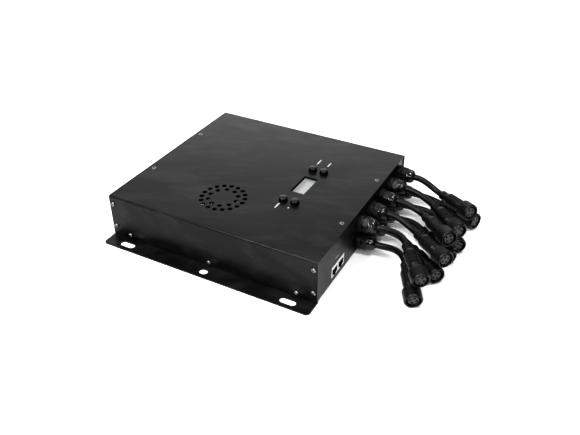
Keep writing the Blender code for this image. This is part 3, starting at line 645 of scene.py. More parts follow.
def dome_reach(angle, height, radius):
    """Shallow flutes round the dome, which fade out towards its base."""
    if radius < DOME_MOUTH_R or height < DOME_FLUTES_FROM:
        return radius
    groove = max(0, math.cos(DOME_FLUTES * angle)) ** 4
    return radius - DOME_FLUTE_DEEP * groove


form = bmesh.new()
dome = in_metres(DOME_FOOT, GLAND_HEX)
for share in DOME_CURVE:
    angle = share * math.pi / 2
    height = DOME_START[0] + DOME_TALL * math.sin(angle)
    dome.append((height, DOME_START[1] + DOME_SWELL * math.cos(angle)))
dome += in_metres(DOME_LIP, GLAND_LONG)
add_turned(form, dome, 96, closed=True, reach=dome_reach)
dome_mesh = new_mesh("gland_dome", form, nylon, 50)

form = bmesh.new()
add_turned(form, in_metres(SEAL, GLAND_LONG), 36, closed=True)
seal_mesh = new_mesh("gland_seal", form, rubber)

form = bmesh.new()
add_chamfered(form, LOCK_NUT_FROM, -SHEET - GAP, LOCK_NUT_R, GLAND_THREAD_R + GAP)
thread = (
    (GLAND_THREAD_FROM, GLAND_THREAD_R - GLAND_THREAD_EDGE),
    (GLAND_THREAD_FROM + GLAND_THREAD_EDGE, GLAND_THREAD_R),
    (GAP, GLAND_THREAD_R),
    (GAP, GLAND_THREAD_BORE_R),
    (GLAND_THREAD_FROM, GLAND_THREAD_BORE_R),
)
add_turned(form, thread, 36, closed=True)
lock_mesh = new_mesh("gland_lock_nut", form, nylon, 25)

outward = Vector((1, 0, 0)).to_track_quat("Z", "Y")
for k, (row, column, *_) in enumerate(LEADS):
    lead = f"{row}_{column}"
    seat = gland_middle(END_FACE, row, column)
    parts = []
    for name, mesh, spin in (
        ("flange", flange_mesh, 7 + 23 * k),
        ("cap", cap_mesh, 13 + 23 * k),
        ("dome", dome_mesh, 13 + 23 * k),
        ("lock_nut", lock_mesh, 0),
        ("seal", seal_mesh, 0),
    ):
        part = new_piece(f"gland_{name}_{lead}", mesh)
        turn = outward @ Quaternion((0, 0, 1), math.radians(spin))
        part.rotation_euler = turn.to_euler()
        part.location = seat
        belongs(part, "case", "black_nylon")
        parts.append(part)
    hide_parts(f"gland_{lead}")


# Chassis: one sheet of 1.5 mm steel folded up at both ends, with lips at the corners that take the
# case screws and upstands that meet the brackets. Powder coated black inside and out.

CASE_X = 270 * MM
CASE_Y = 252 * MM
CASE_Z = 55 * MM
LIP = 12 * MM
UPSTAND = 13 * MM
CHASSIS_BEND = 2 * MM
INNER_BEND = 0.5 * MM
OVERLAP = 0.5 * MM
SIDE_TOP = CASE_Z - SHEET - GAP
LIP_OUT = CASE_Y / 2 - SHEET - GAP
LIP_IN = LIP_OUT - SHEET
FLOOR_OUT = LIP_IN - GAP
CHASSIS_HALF_Y = FLOOR_OUT - 0.4 * MM
UPSTAND_HALF_X = END_FACE - LIP - 3 * MM
GLAND_HOLE_R = 8 * MM
CUT_IN = 4 * MM
CUT_OUT = 2 * MM
JACK_Y = (-89.4 * MM, -57.1 * MM)
JACK_Z = (8.2 * MM, 22.2 * MM)
INLET_Y = 85 * MM
INLET_Z = 27 * MM
INLET_BODY = (28.5 * MM, 31 * MM, 24 * MM)

# Polyester powder coat on steel: satin black, a faint orange peel from the spray, and soft cloudy
# patches from handling. The orange peel is drawn coarser than it is, so that it shows.
coat = start_finish("satin_powder_coat", ior=1.3)
clean_colour = mottle(coat, 24 * MM, ("060606", "181818"), (0.28, 0.37), 6)
grain(coat, 1.1 * MM, 0.04 * MM)

# A little dust, left in long soft smears by the last wipe of a cloth
wiped = add_node(coat, "ShaderNodeMapping", {"vector_type": "TEXTURE"}, {
    "Vector": (add_node(coat, "ShaderNodeTexCoord", {}, {}), "Object"),
    "Rotation": (0, 0, math.radians(20)), "Scale": (2.8, 1, 1),
})
smears = add_node(coat, "ShaderNodeTexNoise", {}, {
    "Vector": (wiped, 0), "Scale": 1 / (22 * MM), "Detail": 5, "Roughness": 0.6, "Distortion": 0.6,
})
dusting = remap(coat, (smears, 0), (0.46, 0.75), (0, 0.22))
dusty = blend(coat, dusting, (clean_colour, 2), linear("4a4a4a"))
feed(coat, "Base Color", dusty, 2)


def arc(centre, radius, start, end, steps):
    """Points along an arc, in degrees."""
    angles = [math.radians(start + (end - start) * k / steps) for k in range(steps + 1)]
    return [(centre[0] + radius * math.cos(a), centre[1] + radius * math.sin(a)) for a in angles]


def add_extruded(form, corners, along):
    """Add the shape that an outline of points sweeps along a vector."""
    near = [form.verts.new(corner) for corner in corners]
    far = [form.verts.new(corner.co + Vector(along)) for corner in near]
    form.faces.new(near)
    form.faces.new(far)
    for k in range(len(near)):
        form.faces.new((near[k - 1], near[k], far[k], far[k - 1]))


def chassis_outline():
    """The chassis's section in X and Z: floor, bends, ends and the lips under the cover."""
    bend_x = END_FACE - CHASSIS_BEND
    right = arc((bend_x, CHASSIS_BEND), CHASSIS_BEND, -90, 0, 4)
    right += arc((bend_x, SIDE_TOP - CHASSIS_BEND), CHASSIS_BEND, 0, 90, 4)
    lip = END_FACE - LIP
    right += [(lip, SIDE_TOP), (lip, SIDE_TOP - SHEET)]
    inner_x = END_FACE - SHEET - INNER_BEND
    right += arc((inner_x, SIDE_TOP - SHEET - INNER_BEND), INNER_BEND, 90, 0, 2)
    right += arc((inner_x, SHEET + INNER_BEND), INNER_BEND, 0, -90, 2)
    return right + [(-x, z) for x, z in reversed(right)]


form = bmesh.new()
corners = [(x, -CHASSIS_HALF_Y, z) for x, z in chassis_outline()]
add_extruded(form, corners, (0, 2 * CHASSIS_HALF_Y, 0))
chassis = lone_piece("folded_chassis", form, coat)
folds = bmesh.new()
for side in (-1, 1):
    for way in (-1, 1):
        add_box(
            folds,
            (way * (END_FACE - LIP), side * (CHASSIS_HALF_Y - OVERLAP), SHEET + GAP),
            (way * END_FACE, side * LIP_OUT, SIDE_TOP - OVERLAP),
        )
    add_box(
        folds,
        (-UPSTAND_HALF_X, side * (FLOOR_OUT - SHEET), SHEET / 2),
        (UPSTAND_HALF_X, side * FLOOR_OUT, UPSTAND),
    )
change(chassis, folds, "UNION")
holes = bmesh.new()
for row, column, *_ in LEADS:
    inside = gland_middle(END_FACE - CUT_IN, row, column)
    add_cylinder(holes, GLAND_HOLE_R, inside, gland_middle(END_FACE + CUT_OUT, row, column))
add_box(
    holes,
    (END_FACE - CUT_IN, JACK_Y[0] - GAP, JACK_Z[0] - GAP),
    (END_FACE + CUT_OUT, JACK_Y[1] + GAP, JACK_Z[1] + GAP),
)
wide, tall = INLET_BODY[:2]
add_box(
    holes,
    (-END_FACE - CUT_OUT, INLET_Y - wide / 2 - GAP, INLET_Z - tall / 2 - GAP),
    (-END_FACE + CUT_IN, INLET_Y + wide / 2 + GAP, INLET_Z + tall / 2 + GAP),
)
change(chassis, holes, "DIFFERENCE")
round_edges(chassis, 0.2 * MM)
belongs(chassis, "case", "black_powder_coat", "chassis_tray")


# Mounting brackets: angles of 1.5 mm steel under the front and the back, with slots for bolts,
# screwed on through the cover, with the same coat as the case.

FOOT_DEPTH = 20.5 * MM
FOOT_CORNER = 4.5 * MM
FOOT_INNER_Y = LIP_IN + 0.2 * MM
FOOT_HOLE_Y = 11.4 * MM
SLOT_X = 106.3 * MM
SLOT_LONG = 19.5 * MM
SLOT_WIDE = 8.5 * MM
MIDDLE_SLOT_LONG = 10.5 * MM


def slot_outline(centre, long, wide):
    """Outline of a slot with round ends, long in X."""
    straight = (long - wide) / 2
    right = arc((centre[0] + straight, centre[1]), wide / 2, -90, 90, 12)
    left = arc((centre[0] - straight, centre[1]), wide / 2, 90, 270, 12)
    return right + left


def add_bracket(name, node):
    """A bracket: its foot, with the slots, and its leg behind the cover. The back one is turned."""
    half = CASE_X / 2
    front = -CASE_Y / 2 - FOOT_DEPTH
    r = FOOT_CORNER
    outline = arc((r - half, front + r), r, 180, 270, 8)
    outline += arc((half - r, front + r), r, 270, 360, 8)
    outline += [(half, -FOOT_INNER_Y), (-half, -FOOT_INNER_Y)]
    form = bmesh.new()
    add_extruded(form, [(x, y, 0) for x, y in outline], (0, 0, SHEET))
    bracket = lone_piece(name, form, coat)
    leg = bmesh.new()
    add_box(leg, (-UPSTAND_HALF_X, -LIP_OUT, SHEET / 2), (UPSTAND_HALF_X, -LIP_IN, UPSTAND))
    change(bracket, leg, "UNION")
    slots = bmesh.new()
    y = -CASE_Y / 2 - FOOT_HOLE_Y
    for x, long in ((-SLOT_X, SLOT_LONG), (0, MIDDLE_SLOT_LONG), (SLOT_X, SLOT_LONG)):
        outline = slot_outline((x, y), long, SLOT_WIDE)
        corners = [(x_edge, y_edge, -CUT_OUT) for x_edge, y_edge in outline]
        add_extruded(slots, corners, (0, 0, SHEET + 2 * CUT_OUT))
    change(bracket, slots, "DIFFERENCE")
    round_edges(bracket, 0.25 * MM)
    if node == "rear_bracket":
        bracket.rotation_euler = (0, 0, math.pi)
    belongs(bracket, "case", "black_powder_coat", node)


add_bracket("front_foot", "front_bracket")
add_bracket("rear_foot", "rear_bracket")


# Power module, fan and boards: bought-in parts inside the case, which only show through the holes,
# so they keep the CAD's own shapes. A bright wire guard lies in the fan's mouth: a ring over the
# hub and four spokes that end in the fan's frame.

FAN_X = -15.1 * MM
FAN_Y = -67.4 * MM
GUARD_Z = 49.9 * MM
GUARD_WIRE_R = 0.9 * MM
GUARD_RING_R = 6 * MM
GUARD_REACH = 28.4 * MM
GUARD_SPOKES = (23, 118, 226, 312)

# Glass-filled PBT, as fans are moulded in: black, slightly dull
fan_plastic = start_finish("moulded_pbt_fan")
mottle(fan_plastic, 5 * MM, ("141414", "1d1d1d"), (0.43, 0.57))
grain(fan_plastic, 0.6 * MM, 0.04 * MM)

# Galvanised sheet steel: light grey with large faint crystals
galvanised = start_finish("galvanised_steel_module", 1)
mottle(galvanised, 8 * MM, ("9ea1a3", "bfc2c4"), (0.34, 0.46), 4)

# Solder mask over copper: glossy green, darker over the bare laminate
solder_mask = start_finish("green_solder_mask")
mottle(solder_mask, 4 * MM, ("14402a", "1f5a35"), (0.26, 0.34), 2)
grain(solder_mask, 0.8 * MM, 0.03 * MM)

# Zinc-plated wire: bright, a little frosted
bright_wire = start_finish("zinc_plated_wire", 1)
mottle(bright_wire, 2 * MM, ("b4b6b8", "cccdce"), (0.24, 0.32))

form = bmesh.new()
add_turned(form, arc((0, GUARD_RING_R), GUARD_WIRE_R, 0, 330, 11), 72, closed=True)
for heading in GUARD_SPOKES:
    angle = math.radians(heading)
    along = Vector((math.cos(angle), math.sin(angle), 0))
    add_cylinder(form, GUARD_WIRE_R, GUARD_RING_R * along, GUARD_REACH * along, 24)
guard = lone_piece("finger_guard", form, bright_wire)
guard.location = (FAN_X, FAN_Y, GUARD_Z)
belongs(guard, "case", "bare_steel")

inside_finishes = {
    "fan_frame": fan_plastic,
    "fan_rotor": fan_plastic,
    "power_module": galvanised,
    "output_board": solder_mask,
    "network_board": solder_mask,
    "display_board": solder_mask,
    "display_module": galvanised,
}
for node, finish in inside_finishes.items():
    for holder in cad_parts[node].material_slots:
        holder.material = finish


# Network sockets: a pair in one shield of tin-plated brass, soldered to the network board. Each has
# a black plastic lining and eight gilded contact wires that slope back and down from its roof.

PORT_Y = (-81.2 * MM, -65.3 * MM)
PORT_Z = 14.1 * MM
PORT_WIDE = 12.5 * MM
PORT_TALL = 7.4 * MM
PORT_DEEP = 13 * MM
PORT_LATCH = ((6.2 * MM, 1.6 * MM), (3.6 * MM, 3.1 * MM))
JACK_DEEP = 20.8 * MM
JACK_FRONT = END_FACE + GAP
LINING = 0.5 * MM
LINING_PRESS = 0.01 * MM
LINING_DOWN = 0.05 * MM
SOCKET_WIRES = 8
SOCKET_WIRE_PITCH = 1.02 * MM
SOCKET_WIRE_R = 0.22 * MM
SOCKET_WIRE_FRONT = (JACK_FRONT - 3 * MM, PORT_Z + PORT_TALL / 2 - 1 * MM)
SOCKET_WIRE_BACK = (JACK_FRONT - PORT_DEEP + 1 * MM, PORT_Z - 0.5 * MM)

# Bright tin plate: pale silver, softly brushed by handling
tin = start_finish("tin_plated_shield", 1)
mottle(tin, 3 * MM, ("dcdddd", "f0f0f0"), (0.24, 0.32))
grain(tin, 1.5 * MM, 0.02 * MM)

# Moulded polycarbonate: black and dull, so that the mouths look deep
lining_black = start_finish("moulded_polycarbonate_lining", ior=1.45)
mottle(lining_black, 3 * MM, ("050505", "090909"), (0.52, 0.68))

# Gold plated over nickel: warm and bright
gold = start_finish("gold_plated_wires", 1)
mottle(gold, 1 * MM, ("c9a24b", "e0bd6a"), (0.21, 0.28))


def port_outline(y, shrink):
    """Outline of one mouth in Y and Z: wide above, with the two steps of the latch below."""
    (wide_step, drop_step), (narrow_step, drop_narrow) = PORT_LATCH
    half = PORT_WIDE / 2 - shrink
    low = PORT_Z - PORT_TALL / 2 + shrink
    high = PORT_Z + PORT_TALL / 2 - shrink
    step = wide_step / 2 - shrink
    notch = narrow_step / 2 - shrink
    right = [(half, high), (half, low), (step, low), (step, low - drop_step)]
    right += [(notch, low - drop_step), (notch, low - drop_narrow)]
    left = [(-across, z) for across, z in reversed(right)]
    return [(y + across, z) for across, z in right + left]


form = bmesh.new()
add_box(form, (JACK_FRONT - JACK_DEEP, JACK_Y[0], JACK_Z[0]), (JACK_FRONT, JACK_Y[1], JACK_Z[1]))
shield = lone_piece("socket_shield", form, tin)
ports = bmesh.new()
for y in PORT_Y:
    corners = [(JACK_FRONT - PORT_DEEP, across, z) for across, z in port_outline(y, 0)]
    add_extruded(ports, corners, (PORT_DEEP + CUT_OUT, 0, 0))
change(shield, ports, "DIFFERENCE")
round_edges(shield, 0.12 * MM)
belongs(shield, "case", "socket_shield", "network_sockets")

for k, y in enumerate(PORT_Y):
    form = bmesh.new()
    outline = port_outline(y, -LINING_PRESS)
    corners = [(JACK_FRONT - PORT_DEEP, across, z) for across, z in outline]
    add_extruded(form, corners, (PORT_DEEP - LINING_DOWN, 0, 0))
    lining = lone_piece(f"socket_lining_{k + 1}", form, lining_black)
    cavity = bmesh.new()
    back = JACK_FRONT - PORT_DEEP + LINING
    corners = [(back, across, z) for across, z in port_outline(y, LINING)]
    add_extruded(cavity, corners, (PORT_DEEP, 0, 0))
    change(lining, cavity, "DIFFERENCE")
    belongs(lining, "case", "socket_shield")

    form = bmesh.new()
    for wire in range(SOCKET_WIRES):
        across = y + (wire - (SOCKET_WIRES - 1) / 2) * SOCKET_WIRE_PITCH
        front_x, front_z = SOCKET_WIRE_FRONT
        back_x, back_z = SOCKET_WIRE_BACK
        ends = ((front_x, across, front_z), (back_x, across, back_z))
        add_cylinder(form, SOCKET_WIRE_R, *ends, 8)
    wires = lone_piece(f"socket_wires_{k + 1}", form, gold)
    belongs(wires, "case", "socket_shield")


# Mains inlet: a moulded socket with three flat pins and a fuse drawer above it, set in the left end
# with its plate and two plain ears outside.

INLET_EARS = 50 * MM
INLET_TALL = 34 * MM
INLET_PLATE = 2.5 * MM
INLET_EAR_TALL = 10 * MM
INLET_SHOULDER = 2 * MM
INLET_CORNER = 2.5 * MM
INLET_BACK = -END_FACE - GAP
INLET_FACE = INLET_BACK - INLET_PLATE
INLET_SOCKET = (24.4 * MM, 16.6 * MM, 17 * MM)
INLET_SOCKET_DOWN = 5 * MM
FUSE_UP = 9.3 * MM
PINS = ((-7 * MM, -2 * MM), (0, 2 * MM), (7 * MM, -2 * MM))
PIN_WIDE = 2 * MM
PIN_TALL = 4 * MM
PIN_DOWN = 3 * MM
FUSE_SIZE = (22 * MM, 7 * MM, 18 * MM)
FUSE_CLEAR = 0.35 * MM
FUSE_BACK_CLEAR = 0.6 * MM
FUSE_PROUD = 1.2 * MM
FUSE_GRIP = (1.5 * MM, 10 * MM, 1.2 * MM)
BITE = 1 * MM

# Moulded nylon 66: black, finely textured
inlet_black = start_finish("moulded_nylon_inlet", ior=1.53)
mottle(inlet_black, 5 * MM, ("151515", "1e1e1e"), (0.34, 0.46))
grain(inlet_black, 0.5 * MM, 0.05 * MM)


def add_bar(form, start, end, y, z, wide, tall):
    """Add a box along X between two ends, round a middle in Y and Z."""
    add_box(form, (start, y - wide / 2, z - tall / 2), (end, y + wide / 2, z + tall / 2))


wide, tall, deep = INLET_BODY
half_tall = INLET_TALL / 2
half_ears = INLET_EARS / 2
half_wide = wide / 2 + INLET_SHOULDER
ear = INLET_EAR_TALL / 2
outline = [(half_ears, -ear), (half_ears, ear), (half_wide, half_tall), (-half_wide, half_tall)]
outline += [(-y, -z) for y, z in outline]
form = bmesh.new()
corners = [(INLET_BACK, INLET_Y + y, INLET_Z + z) for y, z in outline]
add_extruded(form, corners, (-INLET_PLATE, 0, 0))
corner_edges = []
for edge in form.edges:
    first, last = edge.verts
    if abs(first.co.x - last.co.x) > INLET_PLATE / 2:
        corner_edges.append(edge)
bmesh.ops.bevel(form, geom=corner_edges, offset=INLET_CORNER, segments=5, affect="EDGES")
inlet = lone_piece("inlet_housing", form, inlet_black)
body = bmesh.new()
add_bar(body, INLET_BACK - BITE, INLET_BACK + deep, INLET_Y, INLET_Z, wide, tall)
change(inlet, body, "UNION")
wide, tall, deep = INLET_SOCKET
middle = INLET_Z - INLET_SOCKET_DOWN
drawer_wide, drawer_tall, drawer_deep = FUSE_SIZE
drawer_z = INLET_Z + FUSE_UP
cavities = bmesh.new()
outside = INLET_FACE - CUT_OUT
add_bar(cavities, outside, INLET_FACE + deep, INLET_Y, middle, wide, tall)
back = INLET_FACE + drawer_deep
add_bar(cavities, outside, back, INLET_Y, drawer_z, drawer_wide, drawer_tall)
change(inlet, cavities, "DIFFERENCE")
round_edges(inlet, 0.35 * MM)
belongs(inlet, "case", "black_thermoplastic", "mains_inlet")

form = bmesh.new()
tip = INLET_FACE + PIN_DOWN
root = INLET_FACE + deep + BITE
for y, z in PINS:
    add_bar(form, tip, root, INLET_Y + y, middle + z, PIN_WIDE, PIN_TALL)
pins = lone_piece("inlet_pins", form, contact_metal)
round_edges(pins, 0.4 * MM)
belongs(pins, "case", "socket_shield")

half_wide = drawer_wide / 2 - FUSE_CLEAR
half_tall = drawer_tall / 2 - FUSE_CLEAR
form = bmesh.new()
add_box(
    form,
    (-FUSE_PROUD, -half_wide, -half_tall),
    (drawer_deep - FUSE_BACK_CLEAR, half_wide, half_tall),
)
drawer = lone_piece("fuse_drawer_front", form, inlet_black)
notch = bmesh.new()
grip_long, grip_wide, grip_deep = FUSE_GRIP
add_box(
    notch,
    (-FUSE_PROUD - CUT_OUT, -grip_wide / 2, half_tall - grip_deep),
    (grip_long, grip_wide / 2, half_tall + CUT_OUT),
)
change(drawer, notch, "DIFFERENCE")
round_edges(drawer, 0.3 * MM)
drawer.location = (INLET_FACE, INLET_Y, drawer_z)
belongs(drawer, "fuse_drawer", "black_thermoplastic", "fuse_drawer")


# Display: a pale unlit glass in a pressed steel frame on the display board, set back under the
# cover's opening. All three keep the CAD's own shapes.

WINDOW_X = 54.8 * MM
WINDOW_Y = 0.75 * MM
WINDOW_WIDE = 17.4 * MM
WINDOW_LONG = 37.5 * MM
PAINTED_SHADE_INSET = 0.2 * MM

# How wide each of the two bands of painted shade is, how strong, and its colour: a grey painted
# shadow of the window's walls, and a black painted line of shade at the edge
DISPLAY_PAINTED_SHADES = ((9 * MM, 0.75, "636665"), (0.8 * MM, 1, "090909"))

# Polariser film over a pale reflector: milky grey-white under a smooth clear face. Along the left
# and the back its colour is painted darker: first a grey painted shadow of the window's walls, then
# a black painted line of shade at the edge.
display_face = start_finish("polariser_film_painted_shade")
shade = mottle(display_face, 14 * MM, ("838584", "959796"), (0.1, 0.14), 2)
place = add_node(display_face, "ShaderNodeTexCoord", {}, {})
across = add_node(display_face, "ShaderNodeSeparateXYZ", {}, {0: (place, "Object")})
left = WINDOW_X - WINDOW_WIDE / 2 + PAINTED_SHADE_INSET
back = WINDOW_Y + WINDOW_LONG / 2 - PAINTED_SHADE_INSET
# Each band paints shade over the film's colour, strongest at the left and the back edges
for reach, depth, shade_tone in DISPLAY_PAINTED_SHADES:
    ends = (left + reach / 2, left + reach)
    shade_from_left = remap(display_face, (across, "X"), ends, (depth, 0))
    ends = (back - reach, back - reach / 2)
    shade_from_back = remap(display_face, (across, "Y"), ends, (0, depth))
    painted_shade = add_node(display_face, "ShaderNodeMath", {"operation": "MAXIMUM"}, {
        0: (shade_from_left, 0), 1: (shade_from_back, 0),
    })
    shade = blend(display_face, painted_shade, (shade, 2), linear(shade_tone))
feed(display_face, "Base Color", shade, 2)
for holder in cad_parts["display_glass"].material_slots:
    holder.material = display_face


# Cover: one sheet of 1.5 mm steel folded to an upside-down U over the chassis, with a ring of air
# holes over the fan, the display's window and four button holes. The same satin powder coat.

COVER_BEND = 2.4 * MM
COVER_FOOT = SHEET + GAP
VENT_HOLE_R = 2.75 * MM
VENT_RINGS = ((25.4 * MM, 18), (17.2 * MM, 10))
BUTTON_X = (48.6 * MM, 63.5 * MM)
BUTTON_Y = (-40 * MM, 35.8 * MM)
BUTTON_HOLE_R = 5.3 * MM

half = CASE_Y / 2
inner_r = COVER_BEND - SHEET
outline = arc((half - COVER_BEND, CASE_Z - COVER_BEND), COVER_BEND, 0, 90, 8)
outline += arc((COVER_BEND - half, CASE_Z - COVER_BEND), COVER_BEND, 90, 180, 8)
outline += [(-half, COVER_FOOT), (SHEET - half, COVER_FOOT)]
outline += arc((COVER_BEND - half, CASE_Z - COVER_BEND), inner_r, 180, 90, 4)
outline += arc((half - COVER_BEND, CASE_Z - COVER_BEND), inner_r, 90, 0, 4)
outline += [(half - SHEET, COVER_FOOT), (half, COVER_FOOT)]
form = bmesh.new()
add_extruded(form, [(-CASE_X / 2, y, z) for y, z in outline], (CASE_X, 0, 0))
cover = lone_piece("folded_cover", form, coat)
holes = bmesh.new()
low = CASE_Z - SHEET - CUT_PAST
high = CASE_Z + CUT_PAST
for radius, count in VENT_RINGS:
    for k in range(count):
        angle = math.tau * k / count
        x = FAN_X + radius * math.cos(angle)
        y = FAN_Y + radius * math.sin(angle)
        add_cylinder(holes, VENT_HOLE_R, (x, y, low), (x, y, high), 24)
add_box(
    holes,
    (WINDOW_X - WINDOW_WIDE / 2, WINDOW_Y - WINDOW_LONG / 2, low),
    (WINDOW_X + WINDOW_WIDE / 2, WINDOW_Y + WINDOW_LONG / 2, high),
)
for x in BUTTON_X:
    for y in BUTTON_Y:
        add_cylinder(holes, BUTTON_HOLE_R, (x, y, low), (x, y, high), 48)
change(cover, holes, "DIFFERENCE")
round_edges(cover, 0.2 * MM)
belongs(cover, "case", "black_powder_coat", "top_cover")


# Buttons: four round black ABS caps with crowned tops, each kept under the cover by its flange and
# held up by the switch below it.

BUTTON_R = 4.9 * MM
BUTTON_PROUD = 5.4 * MM
BUTTON_CROWN = 1.5 * MM
BUTTON_FLANGE_Z = CASE_Z - SHEET - GAP

# Heights and radii of the stem and the flange
BUTTON_FOOT = ((-4.3, 3), (-1.2, 3), (-1.2, 6.1), (0, 6.1))

# Moulded ABS: deep black, satin
button_abs = start_finish("moulded_abs_button")
mottle(button_abs, 4 * MM, ("070707", "0c0c0c"), (0.26, 0.34))
grain(button_abs, 0.5 * MM, 0.03 * MM)

button_top = CASE_Z + BUTTON_PROUD - BUTTON_FLANGE_Z
profile = in_metres(BUTTON_FOOT) + [(0, BUTTON_R)]
for rise, out in arc((0, 0), 1, 90, 5, 12):
    profile.append((button_top - BUTTON_CROWN * (1 - rise), BUTTON_R * out))
form = bmesh.new()
add_turned(form, profile, 48)
button_mesh = new_mesh("button_cap", form, button_abs, 40)
for k, (x, y) in enumerate((x, y) for y in BUTTON_Y for x in BUTTON_X):
    cap = new_piece(f"button_cap_{k + 1}", button_mesh)
    cap.location = (x, y, BUTTON_FLANGE_Z)
    belongs(cap, f"button_{k + 1}", "black_button", f"button_{k + 1}")


# Screws: nickel-plated pan heads with a cross recess, through the cover into the chassis's lips
# and through the cover, the bracket and the chassis along the foot, and low heads with a hexagon
# socket on top.

CROSS_LONG = 3.6 * MM
CROSS_WIDE = 0.9 * MM
CROSS_FROM = 0.2 * MM
HEX_SOCKET_R = 1.3 * MM
HEX_SOCKET_FROM = -1.2 * MM
TOP_SCREW_X = 127 * MM
TOP_SCREW_Y = 50.8 * MM
CORNER_SCREW_X = 130.3 * MM
CORNER_SCREW_Z = (13.7 * MM, 44.1 * MM)
BRACKET_SCREW_X = 110.5 * MM
BRACKET_SCREW_Z = 6.1 * MM

# Heights over the seat and radii of the two heads and the shank
PAN_HEAD = ((0, 2.9), (0.6, 2.9), (1.2, 2.6), (1.6, 2), (1.8, 1.1))
BUTTON_HEAD = ((0, 2.8), (0.1, 2.8), (0.3, 2.5), (0.42, 2), (0.45, 1))
SHANK = ((-3, 1.1), (-2.6, 1.4), (0, 1.4))

# Nickel plate: bright grey, with the fine rings that the heading tool leaves
nickel = start_finish("nickel_plated_screws", 1)
mottle(nickel, 1.5 * MM, ("757677", "a0a1a2"), (0.24, 0.34))
grain(nickel, 0.5 * MM, 0.03 * MM)


def screw_mesh(name, head, recesses):
    """One screw: its head above the seat with its recess, and its shank below."""
    form = bmesh.new()
    add_turned(form, in_metres(SHANK + head), 32)
    model = lone_piece(name, form, nickel, 40)
    for recess in recesses:
        change(model, recess, "DIFFERENCE")
    mesh = model.data
    bpy.data.objects.remove(model)
    return mesh


def add_screw(name, mesh, seat, outward, spin):
    """One screw in its place."""
    screw = new_piece(name, mesh)
    screw.location = seat
    turn = Vector(outward).to_track_quat("Z", "Y") @ Quaternion((0, 0, 1), math.radians(spin))
    screw.rotation_euler = turn.to_euler()
    belongs(screw, "case", "bare_steel")


cross = []
for wide, tall in ((CROSS_LONG, CROSS_WIDE), (CROSS_WIDE, CROSS_LONG)):
    bar = bmesh.new()
    add_box(bar, (-wide / 2, -tall / 2, CROSS_FROM), (wide / 2, tall / 2, CUT_OUT))
    cross.append(bar)
socket = bmesh.new()
add_cylinder(socket, HEX_SOCKET_R, (0, 0, HEX_SOCKET_FROM), (0, 0, CUT_OUT), 6)
pan_mesh = screw_mesh("pan_head_screw", PAN_HEAD, cross)
button_head_mesh = screw_mesh("button_head_screw", BUTTON_HEAD, [socket])
for side, side_name in ((-1, "front"), (1, "back")):
    for way, way_name in ((-1, "left"), (1, "right")):
        for k, z in enumerate(CORNER_SCREW_Z):
            seat = (way * CORNER_SCREW_X, side * CASE_Y / 2, z)
            name = f"screw_{side_name}_{way_name}_{k + 1}"
            add_screw(name, pan_mesh, seat, (0, side, 0), 20 + 50 * k)
        seat = (way * TOP_SCREW_X, side * TOP_SCREW_Y, CASE_Z)
        name = f"screw_top_{side_name}_{way_name}"
        add_screw(name, button_head_mesh, seat, (0, 0, 1), 15 * way)
    for k, x in enumerate((-BRACKET_SCREW_X, 0, BRACKET_SCREW_X)):
        seat = (x, side * CASE_Y / 2, BRACKET_SCREW_Z)
        add_screw(f"screw_foot_{side_name}_{k + 1}", pan_mesh, seat, (0, side, 0), 40 * k)


# Printed marks: plain white bars, screen-printed on the coat beside the buttons and over the
# network sockets.

MARK_WIDE = 1.7 * MM
MARK_PROUD = 0.05 * MM

# Each bar's place across the case, and where it starts and ends
TOP_MARKS = (
    (46.6 * MM, 51.6 * MM, 63.9 * MM),
    (60.8 * MM, 52.5 * MM, 62.6 * MM),
    (47.5 * MM, -58.3 * MM, -47.6 * MM),
    (61.2 * MM, -52.6 * MM, -50.2 * MM),
)
SOCKET_MARK_Y = (-80.7 * MM, -71.7 * MM)
SOCKET_MARK_Z = 28.7 * MM

# Screen-printing ink: flat greyish white, a little uneven at the mesh's pitch
ink = start_finish("screen_printed_ink")
mottle(ink, 0.8 * MM, ("a9a9a9", "bfbfbf"), (0.47, 0.63))

form = bmesh.new()
for x, start, end in TOP_MARKS:
    middle = (start + end) / 2
    outline = slot_outline((0, 0), end - start, MARK_WIDE)
    corners = [(x + across, middle + along, CASE_Z) for along, across in outline]
    add_extruded(form, corners, (0, 0, MARK_PROUD))
start, end = SOCKET_MARK_Y
outline = slot_outline(((start + end) / 2, SOCKET_MARK_Z), end - start, MARK_WIDE / 2)
add_extruded(form, [(END_FACE, y, z) for y, z in outline], (MARK_PROUD, 0, 0))
marks = lone_piece("printed_marks", form, ink)
belongs(marks, "case", "display_face")


# Floor and light: a pale matt sheet of paper under the case, soft lamps round the front, and the
# cloth of a small studio tent.

FLOOR_HALF = 6
FLOOR_DEEP = 0.02
FLOOR_DOWN = 0.3 * MM

form = bmesh.new()
add_box(form, (-FLOOR_HALF, -FLOOR_HALF, -FLOOR_DEEP), (FLOOR_HALF, FLOOR_HALF, -FLOOR_DOWN))

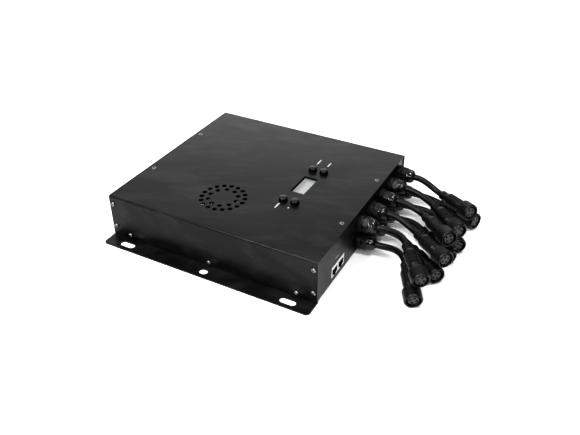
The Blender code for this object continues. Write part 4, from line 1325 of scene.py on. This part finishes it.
# Uncoated paper: nearly white and quite matt, with a faint unevenness
paper = start_finish("pale_paper")
mottle(paper, 0.5, ("f9f9f9", "fcfcfc"), (0.85, 0.95))
floor = lone_piece("floor", form, paper)


def add_light(name, place, aim, wide, tall, power):
    """One soft lamp of a width, height and power in watts, aimed at a point."""
    data = bpy.data.lights.new(name, "AREA")
    data.shape = "RECTANGLE"
    data.size = wide
    data.size_y = tall
    data.energy = power
    light = bpy.data.objects.new(name, data)
    light.location = place
    light.rotation_euler = (Vector(aim) - Vector(place)).to_track_quat("-Z", "Y").to_euler()
    bpy.context.scene.collection.objects.link(light)


add_light("overhead_lamp", (0.55, -0.25, 1.45), (0.15, 0, 0.04), 0.22, 0.22, 8)
add_light("front_lamp", (-0.2, -1.25, 1.0), (0.15, 0, 0.04), 0.22, 0.22, 5.5)
add_light("camera_lamp", (0.4, -1.2, 0.85), (0.1, 0, 0.04), 0.16, 0.16, 3)
add_light("side_lamp", (0.9, -0.61, 0.79), (0, -0.05, 0.04), 0.14, 0.14, 1.5)
add_light("edge_strip", (-0.46, -0.63, 1.15), (0, -0.12, 0.05), 0.3, 0.45, 9)

# The tent's cloth: dim all round, bright low down behind the object, and glowing overhead. A glow
# is the way to its middle, the cosines at its rim and its middle, and its strength at each.
world = bpy.data.worlds.new("studio")
world.use_nodes = True
place = add_node(world, "ShaderNodeTexCoord", {}, {})
glow = None
for toward, edges, strengths in (
    ((-0.5, 0.8, 0.33), (0.8, 1), (0.18, 1.55)),
    ((0, 0, 1), (0.6, 0.95), (0, 0.6)),
):
    facing = add_node(world, "ShaderNodeVectorMath", {"operation": "DOT_PRODUCT"}, {
        0: (place, "Generated"), 1: toward,
    })
    fade = remap(world, (facing, "Value"), edges, strengths)
    if glow:
        fade = add_node(world, "ShaderNodeMath", {"operation": "ADD"}, {
            0: (glow, 0), 1: (fade, 0),
        })
    glow = fade
background = world.node_tree.nodes["Background"]
background.inputs["Color"].default_value = linear("ffffff")
world.node_tree.links.new(glow.outputs[0], background.inputs["Strength"])
bpy.context.scene.world = world
bpy.context.scene.view_settings.view_transform = "Standard"
bpy.context.scene.view_settings.look = "High Contrast"
